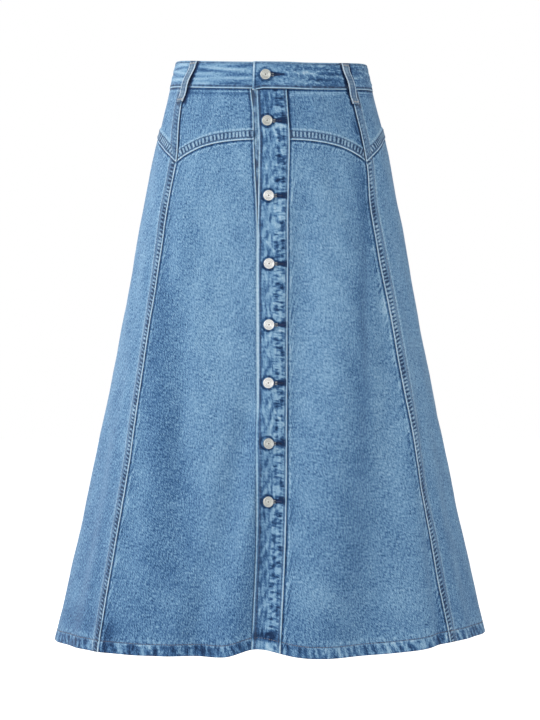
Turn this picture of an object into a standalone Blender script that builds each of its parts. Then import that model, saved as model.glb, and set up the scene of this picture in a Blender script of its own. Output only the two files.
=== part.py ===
"""Denim A-line midi skirt with a buttoned front, arched yokes and belt loops.

Metres, +Z up.  The skirt stands open and filled out, as when worn: its front faces -Y, the
wearer's left is +X, and the origin is the middle of the waist opening, level with the
waistband's mid-height at the sides.

The cloth follows one body surface, given by an angle round the skirt and a height.  The angle
is 0 at the centre front, 90 degrees at the wearer's left and 180 degrees at the centre back.
Every panel is a wall whose outer and inner faces lie a set distance off that surface.
"""

import math
from typing import NamedTuple

import bmesh
import bpy
import numpy as np
from mathutils import Matrix, Vector

MM = 0.001

# --- Waist, hem and walls ---------------------------------------------------------------------
WAIST_SIDE_TOP = 0.0145         # height of the waistband's top edge at the side
WAIST_FRONT_DROP = 0.0105       # how much lower the top edge runs at the centre front
WAIST_BACK_RISE = 0.007         # how much higher it runs at the centre back
WAIST_ROLL = 0.0021             # the waist sits this much lower at +X and higher at -X
WAIST_FRONT_SAG = 0.0011        # it sags this much between the centre front and the sides
WAISTBAND_HEIGHT = 0.0372
HEM_LEVEL = -0.8045
HEM_LEFT_RISE = 0.0115          # the hem climbs towards the wearer's left side
HEM_LEFT_CLIMB = (18.0, 62.0)   # over these angles, and comes down again behind
HEM_LEFT_FALL = (170.0, 110.0)
HEM_NOTCH_RISE = 0.011          # it also rises at the foot of the placket, which shrinks
HEM_NOTCH_ANGLE = -4.0
HEM_NOTCH_RIGHT = 5.5           # the notch's width at either side
HEM_NOTCH_LEFT = 8.5
HEM_DEPTH = 0.017               # turned-up hem, doubled on the inside

PANEL_ROWS = 26                 # rows of the walls' grids, close enough to follow the folds
PLACKET_ROWS = 30

SEAM_SETBACK = 0.15 * MM        # each piece stops this far from the seam line
CLEAR = 0.3 * MM                # space between pieces that lie on each other
PLY = 1.2 * MM                  # one layer of denim
SEAM_BAND = 0.0105              # width of the felled, twice-stitched band along a seam
SEAM_BAND_RISE = 1.0 * MM
SEAM_BAND_SLOPE = 0.0022
HEM_FOLD = 1.2 * MM
HEM_STEP = 0.0008
BAND_THICK = 3.0 * MM           # waistband
PLACKET_THICK = 2.0 * MM

# --- Yokes ------------------------------------------------------------------------------------
YOKE_POINT_LEVEL = -0.1316      # where the yoke seams meet the long seams in a V
FRONT_YOKE_LEVEL = -0.1040      # the yoke seam's highest level at the centre front
SIDE_YOKE_LEVEL = -0.0910
BACK_YOKE_LEVEL = -0.1000
FRONT_YOKE_POWER = 3.2          # flat in the middle, then falling to the V
SIDE_YOKE_POWER = 1.55
BACK_YOKE_POWER = 2.4

# --- Placket, buttons and belt loops ----------------------------------------------------------
UNDERLAP_REACH = 0.027          # how far the lower strip runs under the upper one
LAP_LEVEL_SHARE = 0.72          # share of the upper strip that lies on the lower one
BAND_OVER_END = -10.0           # angles of the waistband's upper and lower ends
BAND_UNDER_END = 5.0
BAND_LAP_FALL = (7.5, 22.5)     # over these angles the upper end falls back to the ring
BAND_FINE_STEP = 2.5
BAND_STEP = 7.5

BUTTON_RADIUS = 0.0073
BUTTON_SHANK_RADIUS = 0.0025
BUTTON_HEAD_HEIGHT = 0.0036
BUTTON_SIDES = 16
BUTTONHOLE_CLEAR = 0.0005
BUTTONHOLE_LENGTH = 0.019
BUTTONHOLE_WIDTH = 0.0011
BUTTONHOLE_SIDES = 12

LOOP_WIDTH = 0.012
LOOP_TOP_DROP = 1.5 * MM        # how far its top stays below the waistband's top edge
LOOP_THICK = 1.6 * MM
LOOP_TURNED_END = 1.0 * MM      # the ends are turned under and lie thicker
LOOP_BELOW_SEAM = 0.0208        # how far a loop reaches below the waist seam
LOOP_BULGE = 2.9 * MM           # how far it stands off the waistband in the middle
LOOP_STATIONS = 9


class Section(NamedTuple):
    """Half sizes of the level section at one height."""

    z: float
    half_width: float
    front_depth: float
    back_depth: float


class Seam(NamedTuple):
    """Angles of the long seams from the centre front, at the wearer's left and right."""

    z: float
    left: float
    right: float
    back: float


class PlacketLine(NamedTuple):
    """Where the placket's edges run across the front, as distances from the centre."""

    z: float
    free_edge: float
    left_seam: float
    right_seam: float


class Fold(NamedTuple):
    """A soft ridge or trough that runs down the skirt."""

    start_z: float
    start_angle: float
    full_z: float
    hem_angle: float
    half_width: float
    height: float


class Button(NamedTuple):
    """A button's place on the placket."""

    x: float
    z: float


class Loop(NamedTuple):
    """A belt loop and the angles of its two ends."""

    name: str
    top_angle: float
    foot_angle: float


SECTIONS = (
    Section(0.040, 0.1290, 0.0980, 0.1010),
    Section(0.000, 0.1386, 0.1020, 0.1070),
    Section(-0.050, 0.1502, 0.1070, 0.1170),
    Section(-0.100, 0.1630, 0.1130, 0.1280),
    Section(-0.200, 0.1826, 0.1250, 0.1430),
    Section(-0.300, 0.2004, 0.1370, 0.1505),
    Section(-0.400, 0.2197, 0.1495, 0.1580),
    Section(-0.500, 0.2407, 0.1630, 0.1690),
    Section(-0.600, 0.2608, 0.1780, 0.1830),
    Section(-0.700, 0.2828, 0.1935, 0.1970),
    Section(-0.800, 0.3065, 0.2090, 0.2120),
    Section(-0.850, 0.3185, 0.2170, 0.2200),
)

LONG_SEAMS = (
    Seam(0.030, 48.5, 55.0, 125.0),
    Seam(-0.050, 49.6, 56.2, 126.5),
    Seam(-0.1316, 51.2, 50.6, 128.0),
    Seam(-0.190, 49.4, 52.0, 128.2),
    Seam(-0.250, 50.9, 51.6, 128.2),
    Seam(-0.320, 52.0, 50.8, 128.0),
    Seam(-0.400, 51.6, 50.0, 127.8),
    Seam(-0.480, 51.0, 49.3, 127.7),
    Seam(-0.560, 51.3, 48.9, 127.5),
    Seam(-0.640, 53.0, 49.1, 127.2),
    Seam(-0.720, 53.3, 49.1, 127.0),
    Seam(-0.850, 53.4, 47.7, 127.0),
)

PLACKET = (
    PlacketLine(0.020, -0.0207, 0.0209, -0.0290),
    PlacketLine(-0.030, -0.0201, 0.0212, -0.0281),
    PlacketLine(-0.065, -0.0185, 0.0234, -0.0243),
    PlacketLine(-0.100, -0.0169, 0.0255, -0.0236),
    PlacketLine(-0.150, -0.0170, 0.0246, -0.0217),
    PlacketLine(-0.200, -0.0178, 0.0233, -0.0192),
    PlacketLine(-0.240, -0.0188, 0.0231, -0.0184),
    PlacketLine(-0.280, -0.0193, 0.0229, -0.0187),
    PlacketLine(-0.350, -0.0190, 0.0222, -0.0184),
    PlacketLine(-0.420, -0.0188, 0.0222, -0.0182),
    PlacketLine(-0.500, -0.0186, 0.0219, -0.0180),
    PlacketLine(-0.580, -0.0199, 0.0218, -0.0184),
    PlacketLine(-0.650, -0.0212, 0.0205, -0.0190),
    PlacketLine(-0.750, -0.0256, 0.0158, -0.0226),
    PlacketLine(-0.850, -0.0306, 0.0103, -0.0270),
)

FOLDS = (
    # Round the placket's foot, which lies in a trough.
    Fold(-0.38, -3.5, -0.52, -21.0, 7.5, -9.0 * MM),
    Fold(-0.42, -2.5, -0.60, -10.0, 5.0, 4.0 * MM),
    Fold(-0.50, 0.0, -0.72, -3.5, 8.0, -5.5 * MM),
    # Front panels: broad ridges that run down and in, each beside a trough.
    Fold(-0.14, 15.5, -0.28, -1.5, 10.0, -7.0 * MM),
    Fold(-0.12, 37.5, -0.45, 10.0, 14.0, 9.0 * MM),
    Fold(-0.12, 53.0, -0.40, 24.5, 10.5, -9.0 * MM),
    Fold(-0.14, -41.5, -0.30, -37.0, 9.0, 6.5 * MM),
    Fold(-0.18, -46.0, -0.42, -18.0, 9.5, -9.0 * MM),
    # Either front long seam stands up as a ridge.
    Fold(-0.18, -51.0, -0.45, -47.5, 9.5, 6.5 * MM),
    Fold(-0.25, 61.0, -0.55, 41.0, 9.0, 8.0 * MM),
    Fold(-0.45, 52.5, -0.65, 49.0, 5.0, -2.0 * MM),
    # Sides and back hang in the same way.
    Fold(-0.30, -72.0, -0.70, -70.0, 12.0, -6.0 * MM),
    Fold(-0.30, 74.0, -0.70, 71.5, 11.0, -4.0 * MM),
    Fold(-0.30, 108.0, -0.65, 110.0, 12.0, -6.0 * MM),
    Fold(-0.32, -110.0, -0.68, -108.0, 12.0, -6.0 * MM),
    Fold(-0.18, 127.5, -0.45, 127.0, 8.0, 5.0 * MM),
    Fold(-0.18, -127.5, -0.45, -127.0, 8.0, 5.0 * MM),
    Fold(-0.24, 140.0, -0.55, 141.0, 9.0, -8.0 * MM),
    Fold(-0.26, -139.0, -0.58, -138.0, 9.0, -7.0 * MM),
    Fold(-0.30, 161.0, -0.65, 159.0, 13.0, 9.0 * MM),
    Fold(-0.28, -160.0, -0.60, -158.0, 13.0, 8.0 * MM),
    Fold(-0.40, 180.0, -0.75, 181.0, 9.0, -6.0 * MM),
)

BUTTONS = (
    Button(-0.0072, -0.0145),
    Button(-0.0051, -0.0785),
    Button(-0.0032, -0.1825),
    Button(-0.0026, -0.2763),
    Button(-0.0027, -0.3598),
    Button(-0.0033, -0.4388),
    Button(-0.0051, -0.5203),
    Button(-0.0053, -0.5982),
)

LOOPS = (
    Loop("belt_loop_front_right", -50.8, -57.3),
    Loop("belt_loop_front_left", 47.3, 50.8),
    Loop("belt_loop_back_left", 124.0, 126.5),
    Loop("belt_loop_back_right", -124.0, -126.5),
    Loop("belt_loop_back_centre", 180.0, 180.0),
)

FINISHES = {
    # name: colour, roughness, metallic
    "denim": ((0.150, 0.290, 0.480, 1.0), 0.90, 0.0),
    "button_metal": ((0.720, 0.700, 0.660, 1.0), 0.34, 1.0),
}


# --- The body surface -------------------------------------------------------------------------
def read_table(rows, column, z):
    """Value of a table's column at height z, on a smooth curve through its rows."""
    knots = np.array([row.z for row in reversed(rows)])
    values = np.array([getattr(row, column) for row in reversed(rows)])
    slopes = np.gradient(values, knots)
    z = np.clip(z, knots[0], knots[-1])
    k = np.clip(np.searchsorted(knots, z) - 1, 0, len(knots) - 2)
    span = knots[k + 1] - knots[k]
    t = (z - knots[k]) / span
    start = (1 + 2 * t) * (1 - t) ** 2 * values[k] + t * (1 - t) ** 2 * span * slopes[k]
    end = t * t * (3 - 2 * t) * values[k + 1] + t * t * (t - 1) * span * slopes[k + 1]
    return start + end


def ease(t):
    """Smooth step from 0 to 1."""
    t = np.clip(t, 0.0, 1.0)
    return t * t * (3 - 2 * t)


def ramp(value, limits):
    """Smooth step from 0 at the first limit to 1 at the second."""
    return ease((value - limits[0]) / (limits[1] - limits[0]))


def turn(angle):
    """Bring an angle in degrees into -180 to 180."""
    return (angle + 180.0) % 360.0 - 180.0


def fold_relief(angle, z):
    """How far the folds push the surface out at an angle in degrees and a height."""
    relief = np.zeros(np.broadcast(angle, z).shape)
    for fold in FOLDS:
        along = np.clip((fold.start_z - z) / (fold.start_z - HEM_LEVEL), 0.0, 1.0)
        middle = fold.start_angle + (fold.hem_angle - fold.start_angle) * along
        across = np.clip(np.abs(turn(angle - middle)) / fold.half_width, 0.0, 1.0)
        growth = ease((fold.start_z - z) / (fold.start_z - fold.full_z))
        relief += fold.height * growth * 0.5 * (1 + np.cos(math.pi * across))
    return relief


def body_point(angle, z):
    """Points of the body surface, as an array with x, y and z in its last axis."""
    angle, z = np.broadcast_arrays(angle, z)
    relief = fold_relief(angle, z)
    sine = np.sin(np.radians(angle))
    cosine = np.cos(np.radians(angle))
    width = read_table(SECTIONS, "half_width", z)
    front = read_table(SECTIONS, "front_depth", z)
    back = read_table(SECTIONS, "back_depth", z)
    depth = np.where(cosine > 0, front, back)
    return np.stack([(width + relief) * sine, -(depth + relief) * cosine, z], axis=-1)


def body_frame(angle, z):
    """Points of the body surface with the outward normal and the metres in one degree."""
    step_angle, step_z = 0.4, 0.002
    around = (body_point(angle + step_angle, z) - body_point(angle - step_angle, z))
    around /= 2 * step_angle
    upward = body_point(angle, z + step_z) - body_point(angle, z - step_z)
    normal = np.cross(around, upward)
    normal /= np.linalg.norm(normal, axis=-1, keepdims=True)
    return body_point(angle, z), normal, np.linalg.norm(around, axis=-1)


# --- Lines on the surface ---------------------------------------------------------------------
def waist_top(angle):
    cosine = np.cos(np.radians(angle))
    tilt = np.where(cosine > 0, -WAIST_FRONT_DROP, WAIST_BACK_RISE) * cosine ** 2
    sag = np.where(cosine > 0, WAIST_FRONT_SAG, 0.0) * np.sin(np.radians(2 * angle)) ** 2
    return WAIST_SIDE_TOP + tilt - sag - WAIST_ROLL * np.sin(np.radians(angle))


def waist_seam(angle):
    return waist_top(angle) - WAISTBAND_HEIGHT


def hem_line(angle):
    angle = turn(angle)
    climb = HEM_LEFT_RISE * ramp(angle, HEM_LEFT_CLIMB) * ramp(angle, HEM_LEFT_FALL)
    off_notch = angle - HEM_NOTCH_ANGLE
    notch_width = np.where(off_notch < 0, HEM_NOTCH_RIGHT, HEM_NOTCH_LEFT)
    notch = np.exp(-(off_notch / notch_width) ** 2)
    return HEM_LEVEL + climb + HEM_NOTCH_RISE * notch


def arch(top_level, power, middle, reach):
    """A yoke seam that falls from its middle angle to the V at its reach."""
    def line(angle):
        share = np.abs(turn(angle - middle)) / reach
        return top_level + (YOKE_POINT_LEVEL - top_level) * share ** power
    return line


def left_seam(z):
    return read_table(LONG_SEAMS, "left", z)


def right_seam(z):
    return -read_table(LONG_SEAMS, "right", z)


def back_left_seam(z):
    return read_table(LONG_SEAMS, "back", z)


def back_right_seam(z):
    return 360.0 - read_table(LONG_SEAMS, "back", z)


def placket_angle(column, z, shift=0.0):
    """Angle of one of the placket's lines at height z, shifted across by some metres."""
    width = read_table(SECTIONS, "half_width", z)
    return np.degrees(np.arcsin((read_table(PLACKET, column, z) + shift) / width))


def free_edge(z):
    return placket_angle("free_edge", z)


def placket_left_seam(z):
    return placket_angle("left_seam", z)


def placket_right_seam(z):
    return placket_angle("right_seam", z)


def underlap_edge(z):
    return placket_angle("free_edge", z, UNDERLAP_REACH)


# --- Meshes -----------------------------------------------------------------------------------
def make_material(name):
    colour, roughness, metallic = FINISHES[name]
    material = bpy.data.materials.new(name)
    material.use_nodes = True
    shader = material.node_tree.nodes["Principled BSDF"]
    shader.inputs["Base Color"].default_value = colour
    shader.inputs["Roughness"].default_value = roughness
    shader.inputs["Metallic"].default_value = metallic
    return material


def add_object(name, mesh, kit, finish):
    """Put a mesh in the skirt's collection, under its empty, with its own material."""
    material = make_material(finish)
    material.name = name + "_" + finish
    mesh.materials.append(material)
    piece = bpy.data.objects.new(name, mesh)
    piece.parent = kit["root"]
    kit["collection"].objects.link(piece)
    return piece


def wall_mesh(name, outer, inner):
    """Close the wall between two grids of points that have the same rows and columns.

    Rows run down the skirt and columns run round it towards the wearer's left.
    """
    rows, columns = outer.shape[:2]
    points = np.concatenate([outer.reshape(-1, 3), inner.reshape(-1, 3)])

    def index(row, column, side):
        return (side * rows + row) * columns + column

    faces = []
    for row in range(rows - 1):
        for column in range(columns - 1):
            corners = [(row, column), (row + 1, column), (row + 1, column + 1), (row, column + 1)]
            faces.append([index(*corner, 0) for corner in corners])
            faces.append([index(*corner, 1) for corner in reversed(corners)])
    for column in range(columns - 1):
        for row, (a, b) in ((0, (column, column + 1)), (rows - 1, (column + 1, column))):
            faces.append([index(row, a, 0), index(row, b, 0), index(row, b, 1), index(row, a, 1)])
    for row in range(rows - 1):
        for column, (a, b) in ((columns - 1, (row, row + 1)), (0, (row + 1, row))):
            faces.append([index(a, column, 0), index(b, column, 0),
                          index(b, column, 1), index(a, column, 1)])

    mesh = bpy.data.meshes.new(name)
    mesh.from_pydata(points.tolist(), [], faces)
    tidy = bmesh.new()
    tidy.from_mesh(mesh)
    bmesh.ops.recalc_face_normals(tidy, faces=tidy.faces)
    tidy.to_mesh(mesh)
    tidy.free()
    mesh.shade_smooth()
    mesh.set_sharp_from_angle(angle=math.radians(35))
    return mesh


def spread(start_offsets, end_offsets, inner_count):
    """Stations across a piece: fixed distances from both edges and even shares between.

    Each station is its share of the way across, plus its distance from either edge.
    """
    stations = [(0.0, offset, 0.0) for offset in start_offsets]
    stations += [(k / inner_count, start_offsets[-1], end_offsets[-1])
                 for k in range(1, inner_count)]
    stations += [(1.0, 0.0, offset) for offset in reversed(end_offsets)]
    return np.array(stations)


def place(stations, start, end, start_scale, end_scale):
    """Positions of stations between two edges; the scales turn metres into their unit."""
    share, from_start, from_end = stations
    first = start + from_start * start_scale
    last = end - from_end * end_scale
    inner = first + (last - first) * share
    return np.where(share == 0.0, first, np.where(share == 1.0, last, inner))


def steepness(line, angle):
    """How much longer a level distance off a line is when measured straight up the cloth."""
    step = 0.2
    per_degree = body_frame(angle, line(angle))[2]
    slope = (line(angle + step) - line(angle - step)) / (2 * step * per_degree)
    return np.sqrt(1.0 + slope ** 2)


def panel_grid(start_line, end_line, top_line, foot_line, columns, rows):
    """Angles and heights of a panel's grid between four lines on the body surface."""
    def angles_at(z):
        start, end = start_line(z), end_line(z)
        start_scale = 1.0 / body_frame(start, z)[2]
        end_scale = 1.0 / body_frame(end, z)[2]
        return place(columns.T, start, end, start_scale, end_scale)

    ends = []
    for line in (top_line, foot_line):
        z = np.full(len(columns), YOKE_POINT_LEVEL)
        for _ in range(12):
            z = line(angles_at(z))
        ends.append((z, steepness(line, angles_at(z))))
    (top, top_scale), (foot, foot_scale) = ends
    height = place(rows.T[:, :, None], top, foot, -top_scale, -foot_scale)
    return angles_at(height), height


def band_share(stations, band, at_start):
    """1 where a station lies in the felled band along an edge, else 0."""
    share, from_start, from_end = stations.T
    near = from_start if at_start else from_end
    edge = 0.0 if at_start else 1.0
    return np.where((share == edge) & (near <= band + 1e-9), 1.0, 0.0)


PLAIN_EDGE = (SEAM_SETBACK,)
FOLDED_EDGE = (SEAM_SETBACK, 0.003, 0.006, 0.012)
FELLED_EDGE = (SEAM_SETBACK, SEAM_BAND, SEAM_BAND + SEAM_BAND_SLOPE)
HEM_EDGE = (0.0, HEM_DEPTH, HEM_DEPTH + HEM_STEP)


def build_panel(name, kit, lines, edges, counts):
    """A cloth panel between four lines.

    lines: start, end, top and foot line.  edges: what runs along each of them, as the
    distances of the grid's lines from that edge.  counts: even columns and rows between.
    """
    start_line, end_line, top_line, foot_line = lines
    start_edge, end_edge, top_edge, foot_edge = edges
    columns = spread(start_edge, end_edge, counts[0])
    rows = spread(top_edge, foot_edge, counts[1])
    angle, height = panel_grid(start_line, end_line, top_line, foot_line, columns, rows)
    point, normal, _ = body_frame(angle, height)

    raised = np.zeros_like(height)
    for edge, stations, at_start in ((start_edge, columns, True), (end_edge, columns, False)):
        if edge is FELLED_EDGE:
            raised = np.maximum(raised, band_share(stations, SEAM_BAND, at_start)[None, :])
    if foot_edge is FELLED_EDGE:
        raised = np.maximum(raised, band_share(rows, SEAM_BAND, False)[:, None])
    doubled = np.zeros_like(height)
    if foot_edge is HEM_EDGE:
        doubled += band_share(rows, HEM_DEPTH, False)[:, None]

    outer = point + normal * (PLY / 2 + SEAM_BAND_RISE * raised)[..., None]
    inner = point - normal * (PLY / 2 + HEM_FOLD * doubled)[..., None]
    return add_object(name, wall_mesh(name, outer, inner), kit, "denim")


def build_panels(kit):
    """Front, side and back panels below the yokes, and the yokes above them."""
    point_left = left_seam(YOKE_POINT_LEVEL)
    point_right = -right_seam(YOKE_POINT_LEVEL)
    point_back = back_left_seam(YOKE_POINT_LEVEL)
    front_left = arch(FRONT_YOKE_LEVEL, FRONT_YOKE_POWER, 0.0, point_left)
    front_right = arch(FRONT_YOKE_LEVEL, FRONT_YOKE_POWER, 0.0, point_right)
    side_left = arch(SIDE_YOKE_LEVEL, SIDE_YOKE_POWER,
                     (point_left + point_back) / 2, (point_back - point_left) / 2)
    side_right = arch(SIDE_YOKE_LEVEL, SIDE_YOKE_POWER,
                      -(point_right + point_back) / 2, (point_back - point_right) / 2)
    back = arch(BACK_YOKE_LEVEL, BACK_YOKE_POWER, 180.0, 180.0 - point_back)

    def right_side_start(z):
        return back_right_seam(z) - 360.0

    pieces = (
        # name, start line, end line, yoke seam, start edge, end edge, columns
        ("front_{}_right", right_seam, placket_right_seam, front_right,
         PLAIN_EDGE, FOLDED_EDGE, 13),
        ("front_{}_left", placket_left_seam, left_seam, front_left,
         PLAIN_EDGE, PLAIN_EDGE, 12),
        ("side_{}_left", left_seam, back_left_seam, side_left,
         FELLED_EDGE, FELLED_EDGE, 12),
        ("side_{}_right", right_side_start, right_seam, side_right,
         FELLED_EDGE, FELLED_EDGE, 12),
        ("back_{}", back_left_seam, back_right_seam, back, PLAIN_EDGE, PLAIN_EDGE, 18),
    )
    for pattern, start, end, yoke_seam, start_edge, end_edge, columns in pieces:
        build_panel(pattern.format("yoke"), kit, (start, end, waist_seam, yoke_seam),
                    (start_edge, end_edge, PLAIN_EDGE, FELLED_EDGE), (columns, 2))
        build_panel(pattern.format("panel"), kit, (start, end, yoke_seam, hem_line),
                    (start_edge, end_edge, PLAIN_EDGE, HEM_EDGE), (columns, PANEL_ROWS))


def build_placket(kit):
    """The lower strip, level with the panels, and the upper strip with its buttonholes."""
    rows = spread(PLAIN_EDGE, (0.0,), PLACKET_ROWS)

    under_columns = spread(PLAIN_EDGE, (0.0,), 5)
    angle, height = panel_grid(placket_right_seam, underlap_edge, waist_seam, hem_line,
                               under_columns, rows)
    point, normal, _ = body_frame(angle, height)
    outer = point + normal * (PLY / 2)
    inner = point + normal * (PLY / 2 - PLACKET_THICK)
    add_object("placket_under", wall_mesh("placket_under", outer, inner), kit, "denim")

    over_columns = spread((0.0, 0.003, 0.006), PLAIN_EDGE, 6)
    angle, height = panel_grid(free_edge, placket_left_seam, waist_seam, hem_line,
                               over_columns, rows)
    point, normal, _ = body_frame(angle, height)
    share = (angle - free_edge(height)) / (placket_left_seam(height) - free_edge(height))
    lifted = 1.0 - ramp(share, (LAP_LEVEL_SHARE, 1.0))
    low = -PLY / 2
    high = PLY / 2 + CLEAR
    floor = (low + (high - low) * lifted)[..., None]
    outer = point + normal * (floor + PLACKET_THICK)
    inner = point + normal * floor
    return add_object("placket_over", wall_mesh("placket_over", outer, inner), kit, "denim")


def build_waistband(kit):
    """One straight band round the waist, whose upper end laps over its lower end."""
    fine = np.arange(BAND_OVER_END, BAND_LAP_FALL[1], BAND_FINE_STEP)
    plain = np.arange(BAND_LAP_FALL[1], 360 + BAND_OVER_END - BAND_FINE_STEP, BAND_STEP)
    under = np.arange(360 + BAND_OVER_END, 360 + BAND_UNDER_END + 0.1, BAND_FINE_STEP)
    around = np.concatenate([fine, plain, under])
    shares = np.array([0.0, 0.08, 0.5, 1.0])
    rounding = np.array([0.45, 0.0, 0.0, 0.0])[:, None] * MM

    angle = np.broadcast_to(around, (len(shares), len(around)))
    top = waist_top(angle)
    foot = waist_seam(angle) + SEAM_SETBACK
    height = top + (foot - top) * shares[:, None]
    point, normal, _ = body_frame(angle, height)
    lap = (BAND_THICK + CLEAR) * (1.0 - ramp(angle, BAND_LAP_FALL))
    outer = point + normal * (lap + BAND_THICK / 2 - rounding)[..., None]
    inner = point + normal * (lap - BAND_THICK / 2 + rounding)[..., None]
    return add_object("waistband", wall_mesh("waistband", outer, inner), kit, "denim")


def build_loop(loop, kit):
    """A belt loop: a narrow strip held at both ends and standing off in the middle."""
    share = np.linspace(0.0, 1.0, LOOP_STATIONS)
    centre = loop.top_angle + (loop.foot_angle - loop.top_angle) * share
    top = waist_top(centre) - LOOP_TOP_DROP
    height = top + (waist_seam(centre) - LOOP_BELOW_SEAM - top) * share
    per_degree = body_frame(centre, height)[2]
    across = np.array([-0.5, 0.0, 0.5]) * LOOP_WIDTH
    angle = centre[:, None] + across[None, :] / per_degree[:, None]
    point, normal, _ = body_frame(angle, np.broadcast_to(height[:, None], angle.shape))

    bulge = np.sin(math.pi * np.clip((share - 0.12) / 0.76, 0.0, 1.0)) ** 2
    end = np.where((share < 0.13) | (share > 0.87), 1.0, 0.0)
    seat = max(BAND_THICK / 2, PLY / 2 + SEAM_BAND_RISE) + CLEAR
    low = seat + LOOP_BULGE * bulge
    high = low + LOOP_THICK + LOOP_TURNED_END * end
    outer = point + normal * high[:, None, None]
    inner = point + normal * low[:, None, None]
    add_object(loop.name, wall_mesh(loop.name, outer, inner), kit, "denim")


def button_place(button, number):
    """Where a button stands: its seat's middle, the way out, and the height of its neck."""
    width = read_table(SECTIONS, "half_width", button.z)
    angle = np.degrees(np.arcsin(button.x / width))
    point, normal, _ = body_frame(angle, np.float64(button.z))
    if number == 1:
        seat, top = BAND_THICK / 2, BAND_THICK * 1.5 + CLEAR
    else:
        seat, top = PLY / 2, PLY / 2 + CLEAR + PLACKET_THICK
    foot = point + normal * (seat + CLEAR)
    return Vector(foot), Vector(normal), top - seat


def button_mesh(neck):
    """Half a button's outline, from the middle of its face down to the foot of its shank."""
    top = neck + BUTTON_HEAD_HEIGHT
    outline = (
        (0.0, top - 0.0012), (0.0010, top - 0.0012), (0.0018, top - 0.0005),
        (0.0050, top - 0.0007), (0.0056, top), (0.0066, top - 0.0001),
        (BUTTON_RADIUS, top - 0.0011), (BUTTON_RADIUS - 0.0004, neck + 0.0006),
        (BUTTON_SHANK_RADIUS, neck), (BUTTON_SHANK_RADIUS, 0.0), (0.0, 0.0),
    )
    mesh = bpy.data.meshes.new("button_outline")
    edges = [(k, k + 1) for k in range(len(outline) - 1)]
    mesh.from_pydata([(radius, 0.0, height) for radius, height in outline], edges, [])
    return mesh


def build_button(button, number, kit):
    """A shank button that passes through its hole and stands on the strip below."""
    foot, out, neck = button_place(button, number)
    piece = add_object("button_{}".format(number), button_mesh(neck), kit, "button_metal")
    piece.location = foot
    piece.rotation_euler = out.to_track_quat("Z", "Y").to_euler()
    screw = piece.modifiers.new("turn", "SCREW")
    screw.steps = BUTTON_SIDES
    screw.render_steps = BUTTON_SIDES
    screw.use_merge_vertices = True
    screw.merge_threshold = 0.0001
    screw.use_smooth_shade = True


def build_buttonhole_cutter(button, number, kit):
    """A keyhole outline: a round eye for the shank and a slit towards the wearer's left."""
    foot, out, neck = button_place(button, number)
    radius = BUTTON_SHANK_RADIUS + BUTTONHOLE_CLEAR
    half_slit = BUTTONHOLE_WIDTH / 2
    start = math.asin(half_slit / radius)
    turns = np.linspace(start, 2 * math.pi - start, BUTTONHOLE_SIDES)
    outline = [(radius * math.cos(t), radius * math.sin(t)) for t in turns]
    outline += [(BUTTONHOLE_LENGTH, -half_slit), (BUTTONHOLE_LENGTH, half_slit)]

    shape = bmesh.new()
    face = shape.faces.new([shape.verts.new((x, y, 0.0)) for x, y in outline])
    depth = neck * 2.5
    moved = bmesh.ops.extrude_face_region(shape, geom=[face])["geom"]
    raised = [item for item in moved if isinstance(item, bmesh.types.BMVert)]
    bmesh.ops.translate(shape, verts=raised, vec=(0.0, 0.0, depth))
    bmesh.ops.recalc_face_normals(shape, faces=shape.faces)
    mesh = bpy.data.meshes.new("buttonhole_{}".format(number))
    shape.to_mesh(mesh)
    shape.free()

    cutter = bpy.data.objects.new("buttonhole_{}".format(number), mesh)
    right = Vector((1.0, 0.0, 0.0))
    right = (right - out * right.dot(out)).normalized()
    up = out.cross(right)
    basis = np.array([right, up, out]).T
    cutter.rotation_euler = matrix_from(basis).to_euler()
    cutter.location = foot
    cutter.hide_render = True
    cutter.display_type = "WIRE"
    kit["cutters"].objects.link(cutter)
    return cutter


def matrix_from(basis):
    """A rotation matrix from an array whose columns are the three axes."""
    return Matrix([list(row) for row in basis])


def cut(piece, cutter):
    boolean = piece.modifiers.new(cutter.name, "BOOLEAN")
    boolean.operation = "DIFFERENCE"
    boolean.object = cutter


def start_kit():
    """Clear the scene and make the collections and the empty that holds the pieces."""
    for item in list(bpy.data.objects):
        bpy.data.objects.remove(item, do_unlink=True)
    scene = bpy.context.scene
    kit = {}
    for key, name in (("collection", "denim_skirt"), ("cutters", "cutters")):
        kit[key] = bpy.data.collections.new(name)
        scene.collection.children.link(kit[key])
    kit["root"] = bpy.data.objects.new("skirt", None)
    kit["collection"].objects.link(kit["root"])
    return kit


def build_skirt():
    kit = start_kit()
    build_panels(kit)
    placket = build_placket(kit)
    waistband = build_waistband(kit)
    for loop in LOOPS:
        build_loop(loop, kit)
    for number, button in enumerate(BUTTONS, start=1):
        build_button(button, number, kit)
        cutter = build_buttonhole_cutter(button, number, kit)
        cut(waistband if number == 1 else placket, cutter)


build_skirt()
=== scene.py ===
"""Looks of a denim A-line midi skirt: cloth shells, stitching, buttons, light and camera.

Metres, +Z up.  The skirt stands open and filled out, its front faces -Y and the wearer's left
is +X.  Every cloth piece is a thin shell on one body surface, which is given by an angle round
the skirt (0 at the centre front, 90 degrees at the wearer's left) and a height.  A piece is
worked out as a field over that surface: how far its outer and inner faces lie off it, and how
worn or how dark the denim is there.  Panels, stitching and buttonholes all read those fields.
"""

import logging
import math
from dataclasses import dataclass, field
from enum import Enum
from typing import Callable, NamedTuple, Sequence

import bmesh
import bpy
import numpy as np
from mathutils import Matrix, Vector


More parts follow.
